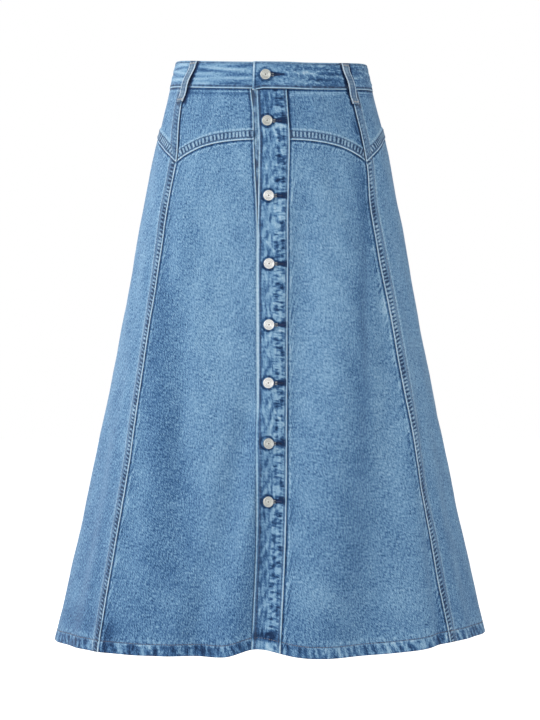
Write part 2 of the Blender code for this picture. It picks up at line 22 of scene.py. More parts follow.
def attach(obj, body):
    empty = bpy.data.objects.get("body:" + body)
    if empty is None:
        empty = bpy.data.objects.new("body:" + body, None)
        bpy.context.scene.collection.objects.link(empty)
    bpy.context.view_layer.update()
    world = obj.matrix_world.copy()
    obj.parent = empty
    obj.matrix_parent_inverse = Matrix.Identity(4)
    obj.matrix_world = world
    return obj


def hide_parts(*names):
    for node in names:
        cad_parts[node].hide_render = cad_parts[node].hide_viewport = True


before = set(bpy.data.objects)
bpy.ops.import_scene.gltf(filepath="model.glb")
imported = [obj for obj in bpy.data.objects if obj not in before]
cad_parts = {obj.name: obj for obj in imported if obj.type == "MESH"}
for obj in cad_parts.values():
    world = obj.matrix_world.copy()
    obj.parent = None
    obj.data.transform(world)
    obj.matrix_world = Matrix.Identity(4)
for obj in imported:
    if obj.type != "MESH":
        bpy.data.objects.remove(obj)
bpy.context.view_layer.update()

LOG = logging.getLogger("denim_skirt")

Array = np.ndarray
Line = Callable[[Array], Array]                     # a seam: its angle by height or the reverse
Face = Callable[[Array, Array, float], Array]       # points that stand off a face

MM = 0.001
BODY = "root"


# --- Sizes and tables of the skirt's form -----------------------------------------------------
class Section(NamedTuple):
    """Half sizes of the level section at one height."""

    z: float
    half_width: float
    front_depth: float
    back_depth: float


class Seam(NamedTuple):
    """Angles of the long seams from the centre front, at the wearer's left and right."""

    z: float
    left: float
    right: float
    back: float


class PlacketLine(NamedTuple):
    """Where the placket's edges run across the front, as distances from the centre."""

    z: float
    free_edge: float
    left_seam: float
    right_seam: float


class Fold(NamedTuple):
    """A soft ridge or trough that runs down the skirt to its hem, its height in millimetres."""

    start_z: float
    start_angle: float
    full_z: float
    hem_angle: float
    half_width: float
    height: float


class Crease(NamedTuple):
    """A short soft crease: its middle, length and width, lean, and height in millimetres."""

    angle: float
    z: float
    length: float
    width: float
    lean: float
    height: float


class WashShade(NamedTuple):
    """A patch of the wash and of painted light and shade: its middle, its drift over a metre down, its
    reach, how pale it is.
    """

    angle: float
    z: float
    drift: float
    reach_angle: float
    reach_z: float
    amount: float


class ButtonPlace(NamedTuple):
    """A button's place on the front, and how much greyer its metal is drawn, 0 to 1."""

    x: float
    z: float
    age: float


class LoopPlace(NamedTuple):
    """A belt loop and the angles of its two ends."""

    node: str
    top_angle: float
    foot_angle: float


SECTIONS = (
    Section(0.040, 0.1290, 0.0980, 0.1010),
    Section(0.000, 0.1386, 0.1020, 0.1070),
    Section(-0.050, 0.1502, 0.1070, 0.1170),
    Section(-0.100, 0.1630, 0.1130, 0.1280),
    Section(-0.200, 0.1826, 0.1250, 0.1430),
    Section(-0.300, 0.2004, 0.1370, 0.1505),
    Section(-0.400, 0.2197, 0.1495, 0.1580),
    Section(-0.500, 0.2407, 0.1630, 0.1690),
    Section(-0.600, 0.2608, 0.1780, 0.1830),
    Section(-0.700, 0.2828, 0.1935, 0.1970),
    Section(-0.800, 0.3065, 0.2090, 0.2120),
    Section(-0.850, 0.3185, 0.2170, 0.2200),
)

LONG_SEAMS = (
    Seam(0.030, 48.5, 55.0, 125.0),
    Seam(-0.050, 49.6, 56.2, 126.5),
    Seam(-0.1316, 51.2, 50.6, 128.0),
    Seam(-0.190, 49.4, 52.0, 128.2),
    Seam(-0.250, 50.9, 51.6, 128.2),
    Seam(-0.320, 52.0, 50.8, 128.0),
    Seam(-0.400, 51.6, 50.0, 127.8),
    Seam(-0.480, 51.0, 49.3, 127.7),
    Seam(-0.560, 51.3, 48.9, 127.5),
    Seam(-0.640, 53.0, 49.1, 127.2),
    Seam(-0.720, 53.3, 49.1, 127.0),
    Seam(-0.850, 53.4, 47.7, 127.0),
)

PLACKET_LINES = (
    PlacketLine(0.020, -0.0207, 0.0209, -0.0290),
    PlacketLine(-0.030, -0.0201, 0.0212, -0.0281),
    PlacketLine(-0.065, -0.0185, 0.0234, -0.0243),
    PlacketLine(-0.100, -0.0169, 0.0255, -0.0236),
    PlacketLine(-0.150, -0.0170, 0.0246, -0.0217),
    PlacketLine(-0.200, -0.0178, 0.0233, -0.0192),
    PlacketLine(-0.240, -0.0188, 0.0231, -0.0184),
    PlacketLine(-0.280, -0.0193, 0.0229, -0.0187),
    PlacketLine(-0.350, -0.0190, 0.0222, -0.0184),
    PlacketLine(-0.420, -0.0188, 0.0222, -0.0182),
    PlacketLine(-0.500, -0.0186, 0.0219, -0.0180),
    PlacketLine(-0.580, -0.0199, 0.0218, -0.0184),
    PlacketLine(-0.650, -0.0212, 0.0205, -0.0190),
    PlacketLine(-0.750, -0.0256, 0.0158, -0.0226),
    PlacketLine(-0.850, -0.0306, 0.0103, -0.0270),
)

FOLDS = (
    # Round the placket's foot, which lies in a trough.
    Fold(-0.38, -3.5, -0.52, -21.0, 7.5, -9.0),
    Fold(-0.42, -2.5, -0.60, -10.0, 5.0, 4.0),
    Fold(-0.50, 0.0, -0.72, -3.5, 8.0, -5.5),
    # Front panels: broad ridges that run down and in, each beside a trough.
    Fold(-0.14, 15.5, -0.28, -1.5, 10.0, -7.0),
    Fold(-0.12, 37.5, -0.45, 10.0, 14.0, 9.0),
    Fold(-0.12, 53.0, -0.40, 24.5, 10.5, -9.0),
    Fold(-0.14, -41.5, -0.30, -37.0, 9.0, 6.5),
    Fold(-0.18, -46.0, -0.42, -18.0, 9.5, -9.0),
    # Either front long seam stands up as a ridge.
    Fold(-0.18, -51.0, -0.45, -47.5, 9.5, 6.5),
    Fold(-0.25, 61.0, -0.55, 41.0, 9.0, 8.0),
    Fold(-0.45, 52.5, -0.65, 49.0, 5.0, -2.0),
    # Sides and back hang in the same way.
    Fold(-0.30, -72.0, -0.70, -70.0, 12.0, -6.0),
    Fold(-0.30, 74.0, -0.70, 71.5, 11.0, -4.0),
    Fold(-0.30, 108.0, -0.65, 110.0, 12.0, -6.0),
    Fold(-0.32, -110.0, -0.68, -108.0, 12.0, -6.0),
    Fold(-0.18, 127.5, -0.45, 127.0, 8.0, 5.0),
    Fold(-0.18, -127.5, -0.45, -127.0, 8.0, 5.0),
    Fold(-0.24, 140.0, -0.55, 141.0, 9.0, -8.0),
    Fold(-0.26, -139.0, -0.58, -138.0, 9.0, -7.0),
    Fold(-0.30, 161.0, -0.65, 159.0, 13.0, 9.0),
    Fold(-0.28, -160.0, -0.60, -158.0, 13.0, 8.0),
    Fold(-0.40, 180.0, -0.75, 181.0, 9.0, -6.0),
)

CREASES = (
    # Front yokes, pulled towards the top button and the long seams.
    Crease(35.0, -0.088, 0.034, 0.0030, 28.0, 0.9),
    Crease(28.0, -0.081, 0.026, 0.0035, 35.0, 0.6),
    Crease(20.0, -0.064, 0.028, 0.0060, 65.0, -0.9),
    Crease(-20.0, -0.060, 0.030, 0.0060, -60.0, -0.8),
    Crease(-33.0, -0.092, 0.026, 0.0040, -35.0, 0.6),
    # Front panels.
    Crease(-27.0, -0.185, 0.060, 0.0075, -24.0, -0.9),
    Crease(-38.0, -0.170, 0.050, 0.0050, -18.0, 0.7),
    Crease(31.0, -0.190, 0.055, 0.0070, 22.0, -0.9),
    Crease(40.0, -0.178, 0.045, 0.0050, 15.0, 0.7),
    Crease(-18.0, -0.330, 0.110, 0.0130, -16.0, -1.5),
    Crease(-33.0, -0.420, 0.140, 0.0140, -10.0, 1.2),
    Crease(33.0, -0.390, 0.130, 0.0130, 9.0, 1.1),
    Crease(24.0, -0.560, 0.120, 0.0120, -7.0, -1.2),
    Crease(-38.0, -0.640, 0.110, 0.0120, 8.0, 1.2),
    Crease(36.0, -0.690, 0.100, 0.0120, -9.0, 1.1),
    # Sides and back.
    Crease(-80.0, -0.260, 0.120, 0.0140, 9.0, 1.3),
    Crease(82.0, -0.280, 0.120, 0.0140, -8.0, 1.3),
    Crease(-92.0, -0.520, 0.140, 0.0150, -8.0, -1.4),
    Crease(94.0, -0.560, 0.140, 0.0150, 9.0, -1.4),
    Crease(150.0, -0.200, 0.070, 0.0090, 24.0, 1.1),
    Crease(-148.0, -0.210, 0.070, 0.0090, -26.0, 1.1),
    Crease(170.0, -0.360, 0.130, 0.0140, 10.0, -1.4),
    Crease(-168.0, -0.480, 0.130, 0.0140, -9.0, 1.3),
    Crease(148.0, -0.620, 0.120, 0.0130, 7.0, 1.2),
)

WASH_SHADES = (
    # Painted light and shade mixed with the wash: the front's pale ridges and the darker hollows between
    # them, which run down and inwards.
    WashShade(-20.0, -0.34, 4.0, 10.0, 0.22, 0.08),
    WashShade(20.0, -0.30, -40.0, 9.0, 0.16, 0.10),
    WashShade(-42.0, -0.42, 45.0, 7.0, 0.24, -0.31),
    WashShade(36.0, -0.38, -45.0, 5.5, 0.26, -0.24),
    WashShade(46.0, -0.19, 0.0, 6.0, 0.08, -0.18),
    WashShade(-8.4, -0.635, -70.0, 3.0, 0.070, 0.24),
    WashShade(12.0, -0.635, 0.0, 5.0, 0.040, 0.12),
    WashShade(-5.0, -0.62, 0.0, 3.0, 0.10, -0.10),
    WashShade(12.0, -0.725, 0.0, 14.0, 0.035, 0.22),
    WashShade(-22.0, -0.735, 0.0, 5.0, 0.035, 0.16),
    WashShade(38.0, -0.735, 0.0, 8.0, 0.035, 0.18),
    WashShade(0.0, -0.78, 0.0, 75.0, 0.20, -0.24),
    WashShade(40.0, -0.62, 0.0, 6.0, 0.20, 0.10),
    WashShade(0.0, -0.06, 0.0, 90.0, 0.05, -0.10),
    WashShade(-66.0, -0.62, 0.0, 14.0, 0.20, -0.12),
    WashShade(-46.0, -0.783, 0.0, 2.4, 0.020, -0.55),
    WashShade(50.0, -0.780, 0.0, 2.0, 0.018, -0.35),
    WashShade(27.0, -0.797, 0.0, 17.0, 0.016, 0.28),
    WashShade(-62.0, -0.768, 0.0, 26.0, 0.014, -0.20),
    WashShade(50.0, -0.345, 0.0, 2.5, 0.030, 0.30),
    # The back is like the front.
    WashShade(150.0, -0.28, 0.0, 22.0, 0.22, 0.10),
    WashShade(-150.0, -0.28, 0.0, 22.0, 0.22, 0.10),
    WashShade(140.0, -0.45, 10.0, 7.0, 0.28, -0.30),
    WashShade(-140.0, -0.45, -10.0, 7.0, 0.28, -0.30),
    WashShade(180.0, -0.78, 0.0, 75.0, 0.20, -0.24),
    WashShade(180.0, -0.06, 0.0, 90.0, 0.05, -0.10),
)

BUTTONS = (
    ButtonPlace(-0.0072, -0.0145, 0.9),
    ButtonPlace(-0.0051, -0.0785, 0.9),
    ButtonPlace(-0.0032, -0.1825, 0.15),
    ButtonPlace(-0.0026, -0.2763, 0.1),
    ButtonPlace(-0.0027, -0.3598, 0.0),
    ButtonPlace(-0.0033, -0.4388, 0.1),
    ButtonPlace(-0.0051, -0.5203, 0.8),
    ButtonPlace(-0.0053, -0.5982, 0.9),
)

LOOPS = (
    LoopPlace("belt_loop_front_right", -50.8, -57.3),
    LoopPlace("belt_loop_front_left", 47.3, 50.8),
    LoopPlace("belt_loop_back_left", 124.0, 126.5),
    LoopPlace("belt_loop_back_right", -124.0, -126.5),
    LoopPlace("belt_loop_back_centre", 180.0, 180.0),
)

LOOP_WIDTH = 12.0 * MM
LOOP_BELOW_SEAM = 20.8 * MM


class Pull(NamedTuple):
    """A thin pale crease on the placket, between two places given across and by height."""

    x: float
    z: float
    end_x: float
    end_z: float


PULLS = (
    Pull(0.0000, -0.0756, 0.0070, -0.1000),
    Pull(0.0070, -0.1000, 0.0170, -0.1280),
    Pull(-0.0130, -0.0740, -0.0070, -0.1070),
    Pull(-0.0040, -0.0360, 0.0000, -0.0530),
    Pull(0.0067, -0.1360, 0.0114, -0.1520),
    Pull(-0.0004, -0.1810, 0.0054, -0.2020),
    Pull(0.0054, -0.2020, 0.0139, -0.2180),
    Pull(-0.0070, -0.2440, 0.0040, -0.2590),
    Pull(-0.0080, -0.3910, -0.0010, -0.4040),
    Pull(0.0030, -0.4750, 0.0146, -0.4930),
    Pull(-0.0030, -0.5060, 0.0030, -0.5140),
)


class BandPatch(NamedTuple):
    """A patch of the waistband: its middle, its reach and how pale it is; heights in mm."""

    angle: float
    height: float
    reach_angle: float
    reach_height: float
    amount: float


BAND_PATCHES = (
    BandPatch(344.0, 9.0, 6.0, 5.0, -0.45),
    BandPatch(338.0, 20.0, 9.0, 2.5, -0.40),
    BandPatch(317.0, 24.6, 5.0, 4.0, -0.45),
    BandPatch(33.0, 5.5, 13.0, 4.0, -0.40),
    BandPatch(25.0, 13.0, 5.0, 3.5, -0.50),
    BandPatch(36.0, 28.0, 7.0, 4.5, -0.40),
    BandPatch(57.0, 27.0, 6.0, 7.0, -0.35),
    BandPatch(310.0, 6.5, 12.0, 4.5, 0.25),
    BandPatch(352.0, 8.0, 3.0, 9.0, -0.35),
    BandPatch(21.0, 22.0, 4.0, 2.0, 0.35),
    BandPatch(330.0, 15.0, 14.0, 2.0, 0.30),
    BandPatch(45.0, 18.0, 40.0, 30.0, -0.20),
)


class Thread(Enum):
    """The threads of the long rows of stitches."""

    STRONG = "seam_stitches"
    FADED = "faded_stitches"
    HEM = "hem_stitches"


@dataclass(frozen=True)
class Sewing:
    """Cloth, seam and stitch sizes that every piece shares."""

    ply: float = 1.2 * MM           # one layer of denim
    lap_rise: float = 1.35 * MM     # how far a lapping edge stands over the cloth below it
    lap_hollow: float = 5.0 * MM    # width over which the lapping edge is lifted inside too
    band: float = 13.6 * MM         # width of the felled band
    band_slope: float = 3.0 * MM
    first_row: float = 3.0 * MM     # stitch rows, from the lapping edge
    second_row: float = 12.4 * MM
    tuck: float = 4.0 * MM          # how far an edge runs on under its neighbour
    edge_round: float = 1.0 * MM
    stitch_pitch: float = 3.2 * MM
    stitch_length: float = 2.2 * MM
    thread_radius: float = 0.36 * MM
    thread_lift: float = 0.12 * MM  # from the cloth to the middle of a stitch
    hem_depth: float = 17.0 * MM
    hem_row: float = 15.3 * MM
    hem_fold: float = 1.2 * MM
    hem_round: float = 1.7 * MM
    placket: float = 2.0 * MM       # thickness of either placket strip
    half_band: float = 1.5 * MM     # half of the waistband's thickness
    clear: float = 0.3 * MM


SEWING = Sewing()
DRAPE = 1.03                        # length of cloth in a metre of height
HIP_DEGREE = 0.0038                 # metres in a degree, as the cloth's patterns count it
WAIST_DEGREE = 0.00245


# --- Small curves and patterns ----------------------------------------------------------------
def ease(share: Array) -> Array:
    """Smooth step from 0 to 1."""
    share = np.clip(share, 0.0, 1.0)
    return share * share * (3 - 2 * share)


def ramp(value: Array, start: float, end: float) -> Array:
    """Smooth step from 0 at the start to 1 at the end."""
    return ease((value - start) / (end - start))


def rise(value: Array, start: float, end: float) -> Array:
    """Smooth step from 0 to 1 between two distances in millimetres."""
    return ramp(value, start * MM, end * MM)


def fall(value: Array, start: float, end: float) -> Array:
    """Smooth step from 1 to 0 between two distances in millimetres."""
    return 1 - rise(value, start, end)


def bump(value: Array, middle: float, reach: float) -> Array:
    """A smooth hump of height 1 round a middle, with its reach as its spread."""
    return np.exp(-((value - middle) / reach) ** 2)


def turn(angle: Array) -> Array:
    """Bring an angle in degrees into -180 to 180."""
    return (angle + 180.0) % 360.0 - 180.0


class Ripple:
    """A smooth uneven pattern over two lengths, made of waves with fixed random headings."""

    def __init__(self, seed: int, wavelength: float, stretch: float = 1.0, count: int = 12) -> None:
        """Draw the waves.

        Args:
            seed: seed of the headings and phases.
            wavelength: typical length of a wave, in metres.
            stretch: how many times longer the pattern is along its second length.
            count: how many waves are added up.
        """
        draw = np.random.default_rng(seed)
        heading = draw.uniform(0.0, 2 * math.pi, count)
        number = 2 * math.pi / (wavelength * draw.uniform(0.7, 1.6, count))
        self.across = number * np.cos(heading)
        self.along = number * np.sin(heading) / stretch
        self.phase = draw.uniform(0.0, 2 * math.pi, count)
        self.scale = math.sqrt(2.0 / count)

    def __call__(self, across: Array, along: Array) -> Array:
        """Value of the pattern, about -1 to 1 nearly everywhere.

        Args:
            across: distances across.
            along: lengths along.

        Returns:
            A value for each place.
        """
        total = np.zeros(np.broadcast(across, along).shape)
        for wave_across, wave_along, phase in zip(self.across, self.along, self.phase):
            total += np.cos(wave_across * across + wave_along * along + phase)
        return total * self.scale * 0.7


SWELL = Ripple(11, 0.055, 1.6)
MOTTLE = Ripple(12, 0.030, 1.8)
SHIVER = Ripple(13, 0.012, 1.3)
PATCH_DRIFT = Ripple(21, 0.034)
PATCH_STRENGTH = Ripple(22, 0.017)
FINE_STREAKS = Ripple(23, 0.0040, 5.0, 20)
WEFT_DASHES = Ripple(24, 0.0034, 2.6, 20)
BAND_STREAKS = Ripple(41, 0.0062, 11.0, 20)
BAND_CREASES = Ripple(42, 0.0085, 2.2, 16)
ROPE_STRENGTH = Ripple(32, 0.024)


# --- The body surface and the lines on it -----------------------------------------------------
class SkirtForm:
    """The body surface that all cloth follows, and the seam lines on it."""

    waist_side_top = 0.0145
    waist_front_drop = 0.0105
    waist_back_rise = 0.007
    waist_roll = 0.0021
    waist_front_sag = 0.0011
    band_height = 0.0372
    hem_level = -0.8045
    hem_left_rise = 0.0115
    hem_left_climb = (18.0, 62.0)
    hem_left_fall = (170.0, 110.0)
    hem_notch_rise = 0.011
    hem_notch_angle = -4.0
    hem_notch_widths = (5.5, 8.5)
    yoke_point = -0.1316
    front_yoke = (-0.1040, 3.2)     # the seam's highest level and how late it falls
    side_yoke = (-0.0910, 1.55)
    back_yoke = (-0.1000, 2.4)
    underlap_reach = 0.027
    angle_step = 0.4                # between the points that a slope is taken from
    height_step = 0.002

    def __init__(self) -> None:
        """Lay out the long seams and the placket's lines."""
        self.left_seam = self.long_seam("left")
        self.right_seam = self.long_seam("right", -1.0)
        self.back_left_seam = self.long_seam("back")
        self.back_right_seam = self.long_seam("back", -1.0, 360.0)
        self.right_side_start = self.long_seam("back", -1.0)
        self.free_edge = self.placket_line("free_edge")
        self.placket_left = self.placket_line("left_seam")
        self.placket_right = self.placket_line("right_seam")
        self.underlap_edge = self.placket_line("free_edge", self.underlap_reach)

    @staticmethod
    def read(rows: Sequence[NamedTuple], column: str, z: Array) -> Array:
        """Value of a table's column at some heights, on a smooth curve through its rows.

        Args:
            rows: the table, from the top row down.
            column: the name of the column.
            z: heights.

        Returns:
            The column's value at each height.
        """
        knots = np.array([row.z for row in reversed(rows)])
        values = np.array([getattr(row, column) for row in reversed(rows)])
        slopes = np.gradient(values, knots)
        z = np.clip(z, knots[0], knots[-1])
        k = np.clip(np.searchsorted(knots, z) - 1, 0, len(knots) - 2)
        span = knots[k + 1] - knots[k]
        t = (z - knots[k]) / span
        start = (1 + 2 * t) * (1 - t) ** 2 * values[k] + t * (1 - t) ** 2 * span * slopes[k]
        end = t * t * (3 - 2 * t) * values[k + 1] + t * t * (t - 1) * span * slopes[k + 1]
        return start + end

    def relief(self, angle: Array, z: Array) -> Array:
        """How far the long folds push the surface out.

        Args:
            angle: angles in degrees.
            z: heights.

        Returns:
            Metres outwards.
        """
        total = np.zeros(np.broadcast(angle, z).shape)
        for fold in FOLDS:
            along = np.clip((fold.start_z - z) / (fold.start_z - self.hem_level), 0.0, 1.0)
            middle = fold.start_angle + (fold.hem_angle - fold.start_angle) * along
            across = np.clip(np.abs(turn(angle - middle)) / fold.half_width, 0.0, 1.0)
            growth = ease((fold.start_z - z) / (fold.start_z - fold.full_z))
            total += fold.height * MM * growth * 0.5 * (1 + np.cos(math.pi * across))
        return total

    def point(self, angle: Array, z: Array) -> Array:
        """Points of the surface.

        Args:
            angle: angles in degrees.
            z: heights.

        Returns:
            Points, with x, y and z in the last axis.
        """
        angle, z = np.broadcast_arrays(angle, z)
        relief = self.relief(angle, z)
        sine, cosine = np.sin(np.radians(angle)), np.cos(np.radians(angle))
        width, front, back = (self.read(SECTIONS, column, z)
                              for column in ("half_width", "front_depth", "back_depth"))
        depth = np.where(cosine > 0, front, back)
        return np.stack([(width + relief) * sine, -(depth + relief) * cosine, z], axis=-1)

    def around(self, angle: Array, z: Array) -> Array:
        """How far the surface runs on for the next degree, as a vector."""
        step = self.angle_step
        return (self.point(angle + step, z) - self.point(angle - step, z)) / (2 * step)

    def degree(self, angle: Array, z: Array) -> Array:
        """Metres in one degree."""
        return np.linalg.norm(self.around(angle, z), axis=-1)

    def frame(self, angle: Array, z: Array) -> tuple[Array, Array]:
        """Where the cloth lies and which way it faces.

        Args:
            angle: angles in degrees.
            z: heights.

        Returns:
            Points of the surface and the unit way out of it at each.
        """
        step = self.height_step
        upward = self.point(angle, z + step) - self.point(angle, z - step)
        normal = np.cross(self.around(angle, z), upward)
        normal /= np.linalg.norm(normal, axis=-1, keepdims=True)
        return self.point(angle, z), normal

    def off(self, angle: Array, z: Array, height: Array) -> Array:
        """Points that stand off the surface by some heights."""
        point, normal = self.frame(angle, z)
        return point + normal * height[..., None]

    def angle_across(self, x: Array, z: Array) -> Array:
        """Angle of places on the front, given by their distance across it."""
        return np.degrees(np.arcsin(x / self.read(SECTIONS, "half_width", z)))

    def waist_top(self, angle: Array) -> Array:
        """Height of the waistband's top edge.

        Args:
            angle: angles in degrees.

        Returns:
            A height for each angle.
        """
        cosine = np.cos(np.radians(angle))
        tilt = np.where(cosine > 0, -self.waist_front_drop, self.waist_back_rise) * cosine ** 2
        sag = np.where(cosine > 0, self.waist_front_sag, 0.0) * np.sin(np.radians(2 * angle)) ** 2
        return self.waist_side_top + tilt - sag - self.waist_roll * np.sin(np.radians(angle))

    def waist_seam(self, angle: Array) -> Array:
        """Height of the waistband's lower edge."""
        return self.waist_top(angle) - self.band_height

    def hem(self, angle: Array) -> Array:
        """Height of the hem's lower edge.

        Args:
            angle: angles in degrees.

        Returns:
            A height for each angle.
        """
        angle = turn(angle)
        climb = ramp(angle, *self.hem_left_climb) * ramp(angle, *self.hem_left_fall)
        off_notch = angle - self.hem_notch_angle
        notch = bump(off_notch, 0.0, np.where(off_notch < 0, *self.hem_notch_widths))
        return self.hem_level + self.hem_left_rise * climb + self.hem_notch_rise * notch

    def arch(self, shape: tuple[float, float], middle: float, reach: float) -> Line:
        """A yoke seam that falls from its middle angle to the V at its reach.

        Args:
            shape: its highest level, and how late it falls.
            middle: the angle where it is highest.
            reach: degrees from there to its end.

        Returns:
            Its height by angle.
        """
        top, power = shape
        drop = self.yoke_point - top
        return lambda angle: top + drop * (np.abs(turn(angle - middle)) / reach) ** power

    def long_seam(self, column: str, way: float = 1.0, past: float = 0.0) -> Line:
        """Angle of a long seam, to one side or the other and counted on past some degrees."""
        return lambda z: past + way * self.read(LONG_SEAMS, column, z)

    def placket_line(self, column: str, shift: float = 0.0) -> Line:
        """Angle of one of the placket's lines, shifted across by some metres."""
        return lambda z: self.angle_across(self.read(PLACKET_LINES, column, z) + shift, z)

    def slope(self, line: Line, angle: Array) -> Array:
        """How far a nearly level line climbs for each metre round the skirt.

        Args:
            line: its height by angle.
            angle: angles in degrees.

        Returns:
            Metres up for each metre round.
        """
        step = self.angle_step / 2
        climb = (line(angle + step) - line(angle - step)) / (2 * step)
        return climb / self.degree(angle, line(angle))

    def steepness(self, line: Line, angle: Array) -> Array:
        """How much longer a distance off a level line is when measured straight up the cloth."""
        return np.sqrt(1.0 + self.slope(line, angle) ** 2)


FORM = SkirtForm()


# --- Fields of the cloth ----------------------------------------------------------------------
class Edge(Enum):
    """What a panel does at one of its edges."""

    LAPS = "laps over its neighbour, folded and stitched twice"
    TUCKS = "runs on under its neighbour"
    HEM = "is turned up and stitched"
    FOLDED = "ends in a plain fold"


class EdgeReading(NamedTuple):
    """Distance from an edge into the piece, length along it, a length of its own and its kind."""

    distance: Array
    along: Array
    own: float
    kind: Edge


class ClothField:
    """Where the faces of a piece lie off the body surface, and how the denim looks there.

    outer and inner are distances out of the surface, and up is half of what the faces stand
    apart in height, where the cloth folds over.  wear runs from -1, dark and unfaded, to 1,
    rubbed pale, and it also carries painted light and shade; grey says how much thread and
    felled cloth dull the blue.  cut is the place on the cut cloth.  lap and low hold distances
    in millimetres for the material's seam marks: lap has the distance from a lapping edge, the
    length along it and the kind of seam; low has the distance from a neighbour's edge, the
    distance from the hem's fold and the length along the hem.
    """

    far = 60.0                      # a distance beyond every mark

    def __init__(self, shape: tuple[int, ...], ply: float) -> None:
        """Start with one plain layer on the surface.

        Args:
            shape: shape of the grid of points.
            ply: thickness of the layer.
        """
        self.outer = np.full(shape, ply / 2)
        self.inner = np.full(shape, -ply / 2)
        self.up, self.wear, self.grey = (np.zeros(shape) for _ in range(3))
        self.cut = np.zeros((*shape, 2))
        self.lap, self.low = (np.full((*shape, 3), self.far) for _ in range(2))

    def close_edge(self, distance: Array, radius: float) -> None:
        """Round the wall off towards an edge, so that it ends in a soft fold.

        Args:
            distance: distance from the edge.
            radius: how far the rounding reaches.
        """
        share = np.clip(distance / radius, 0.0, 1.0)
        factor = np.maximum(np.sqrt(1.0 - (1.0 - share) ** 2), 0.10)
        middle = (self.outer + self.inner) / 2
        half = (self.outer - self.inner) / 2 * factor
        self.outer = middle + half
        self.inner = middle - half

    def close(self, edge: EdgeReading) -> None:
        """Round the wall off where an edge of its kind ends.

        Args:
            edge: distances from it, and its kind.
        """
        past = SEWING.tuck if edge.kind is Edge.TUCKS else 0.0
        radius = SEWING.hem_round if edge.kind is Edge.HEM else SEWING.edge_round
        self.close_edge(edge.distance + past, radius)

    def add_lap(self, edge: EdgeReading, fading: Array, kind: float) -> None:
        """Raise a felled band along an edge, and note where its puckers go.

        Args:
            edge: distances from the edge and along it.
            fading: 0 to 1, how far the band has risen, since it thins out under a neighbour.
            kind: 1 on a yoke seam, 0 on a long seam and -1 on a long seam beside a yoke.
        """
        s = edge.distance
        lift = SEWING.lap_rise * fading
        band = lift * (1 - ramp(s, SEWING.band, SEWING.band + SEWING.band_slope))
        hollow = lift * (1 - ramp(s, SEWING.lap_hollow, SEWING.lap_hollow * 1.7))
        self.outer = np.maximum(self.outer, SEWING.ply / 2 + band)
        self.inner = np.maximum(self.inner, -SEWING.ply / 2 + hollow)
        nearer = s / MM < self.lap[..., 0]
        marks = np.stack([s / MM, (edge.along + edge.own) / MM, np.full(s.shape, kind)], axis=-1)
        self.lap = np.where(nearer[..., None], marks, self.lap)

    def add_tuck(self, edge: EdgeReading, ditch_shade_and_unfaded: float) -> None:
        """Note the ditch beside a neighbour's lapping edge, darken it with painted shade and less faded
        cloth, and raise the cloth next to it.

        Args:
            edge: the edge under the neighbour.
            ditch_shade_and_unfaded: how much darker the ditch is drawn, as painted shade and cloth that
                has faded less.
        """
        self.low[..., 0] = np.minimum(self.low[..., 0], edge.distance / MM)
        self.outer += 0.15 * MM * bump(edge.distance, 3.6 * MM, 1.8 * MM)
        # Painted shade in the ditch, with cloth that has faded less.
        self.wear -= ditch_shade_and_unfaded * fall(edge.distance, 2.4, 4.6)

    def add_fold(self, edge: EdgeReading) -> None:
        """Rub a plain folded edge pale and press in its one row of stitches.

        Args:
            edge: the folded edge.
        """
        s = edge.distance
        open_share = 1 - ramp(edge.along, 0.20, 0.26)
        self.wear += 0.95 * fall(s, 1.0, 1.8)
        self.wear -= (0.10 + 0.80 * open_share) * bump(s, SEWING.first_row + 0.3 * MM, 1.1 * MM)
        self.outer -= 0.35 * MM * bump(s, SEWING.first_row, 0.8 * MM)

    def add_hem(self, edge: EdgeReading) -> None:
        """Double the hem inside, and twist it a little as washing does.

        Args:
            edge: the hem's fold.
        """
        s = edge.distance
        self.low[..., 1] = s / MM
        self.low[..., 2] = (edge.along + edge.own) / MM
        swell = rise(s, 0.0, 2.5) * (1 - ramp(s, SEWING.hem_row - 2 * MM, SEWING.hem_row))
        self.outer += 0.35 * MM * ROPE_STRENGTH(edge.along, s) * swell
        self.outer -= 0.40 * MM * bump(s, SEWING.hem_row, 1.2 * MM)
        self.inner -= SEWING.hem_fold * (1 - ramp(s, SEWING.hem_depth, SEWING.hem_depth + MM))


def patches(across: Array, along: Array, pitch: tuple[float, float], own: float) -> Array:
    """Uneven rows of patches that a stiff doubled strip takes on in the wash.

    Args:
        across: distance across the strip from a line of patches.
        along: length along the strip.
        pitch: distances between patches across and along.
        own: a length that makes each strip's pattern its own.

    Returns:
        About 1 in the middle of a patch and -1 between two of them.
    """
    place = along + own
    drift = 0.36 * PATCH_DRIFT(across * 0.5, place)
    rows = np.cos(2 * math.pi * (along / pitch[1] + drift))
    columns = np.cos(2 * math.pi * across / pitch[0])
    strength = PATCH_STRENGTH(across * 0.8, place)
    return np.clip(0.55 * rows + 0.40 * columns + 0.62 * strength - 0.1, -1.2, 1.2)


def button_shade_marks(right: Array, up: Array, reach: Array) -> tuple[Array, Array]:
    """The painted shade round a button on the cloth that its hole is in.

    Args:
        right: distance across from the button's middle.
        up: distance up from it.
        reach: half height of the wedge.

    Returns:
        The dark wedge beside the button, partly unfaded indigo and partly painted shade, and the painted
        shadow ring round it, each 0 to 1.
    """
    wedge = rise(right, 5.0, 8.0) * np.exp(-((up - 0.6 * MM) / reach) ** 6)
    return wedge, bump(np.hypot(right + 0.4 * MM, up - 0.5 * MM), 9.0 * MM, 1.2 * MM)


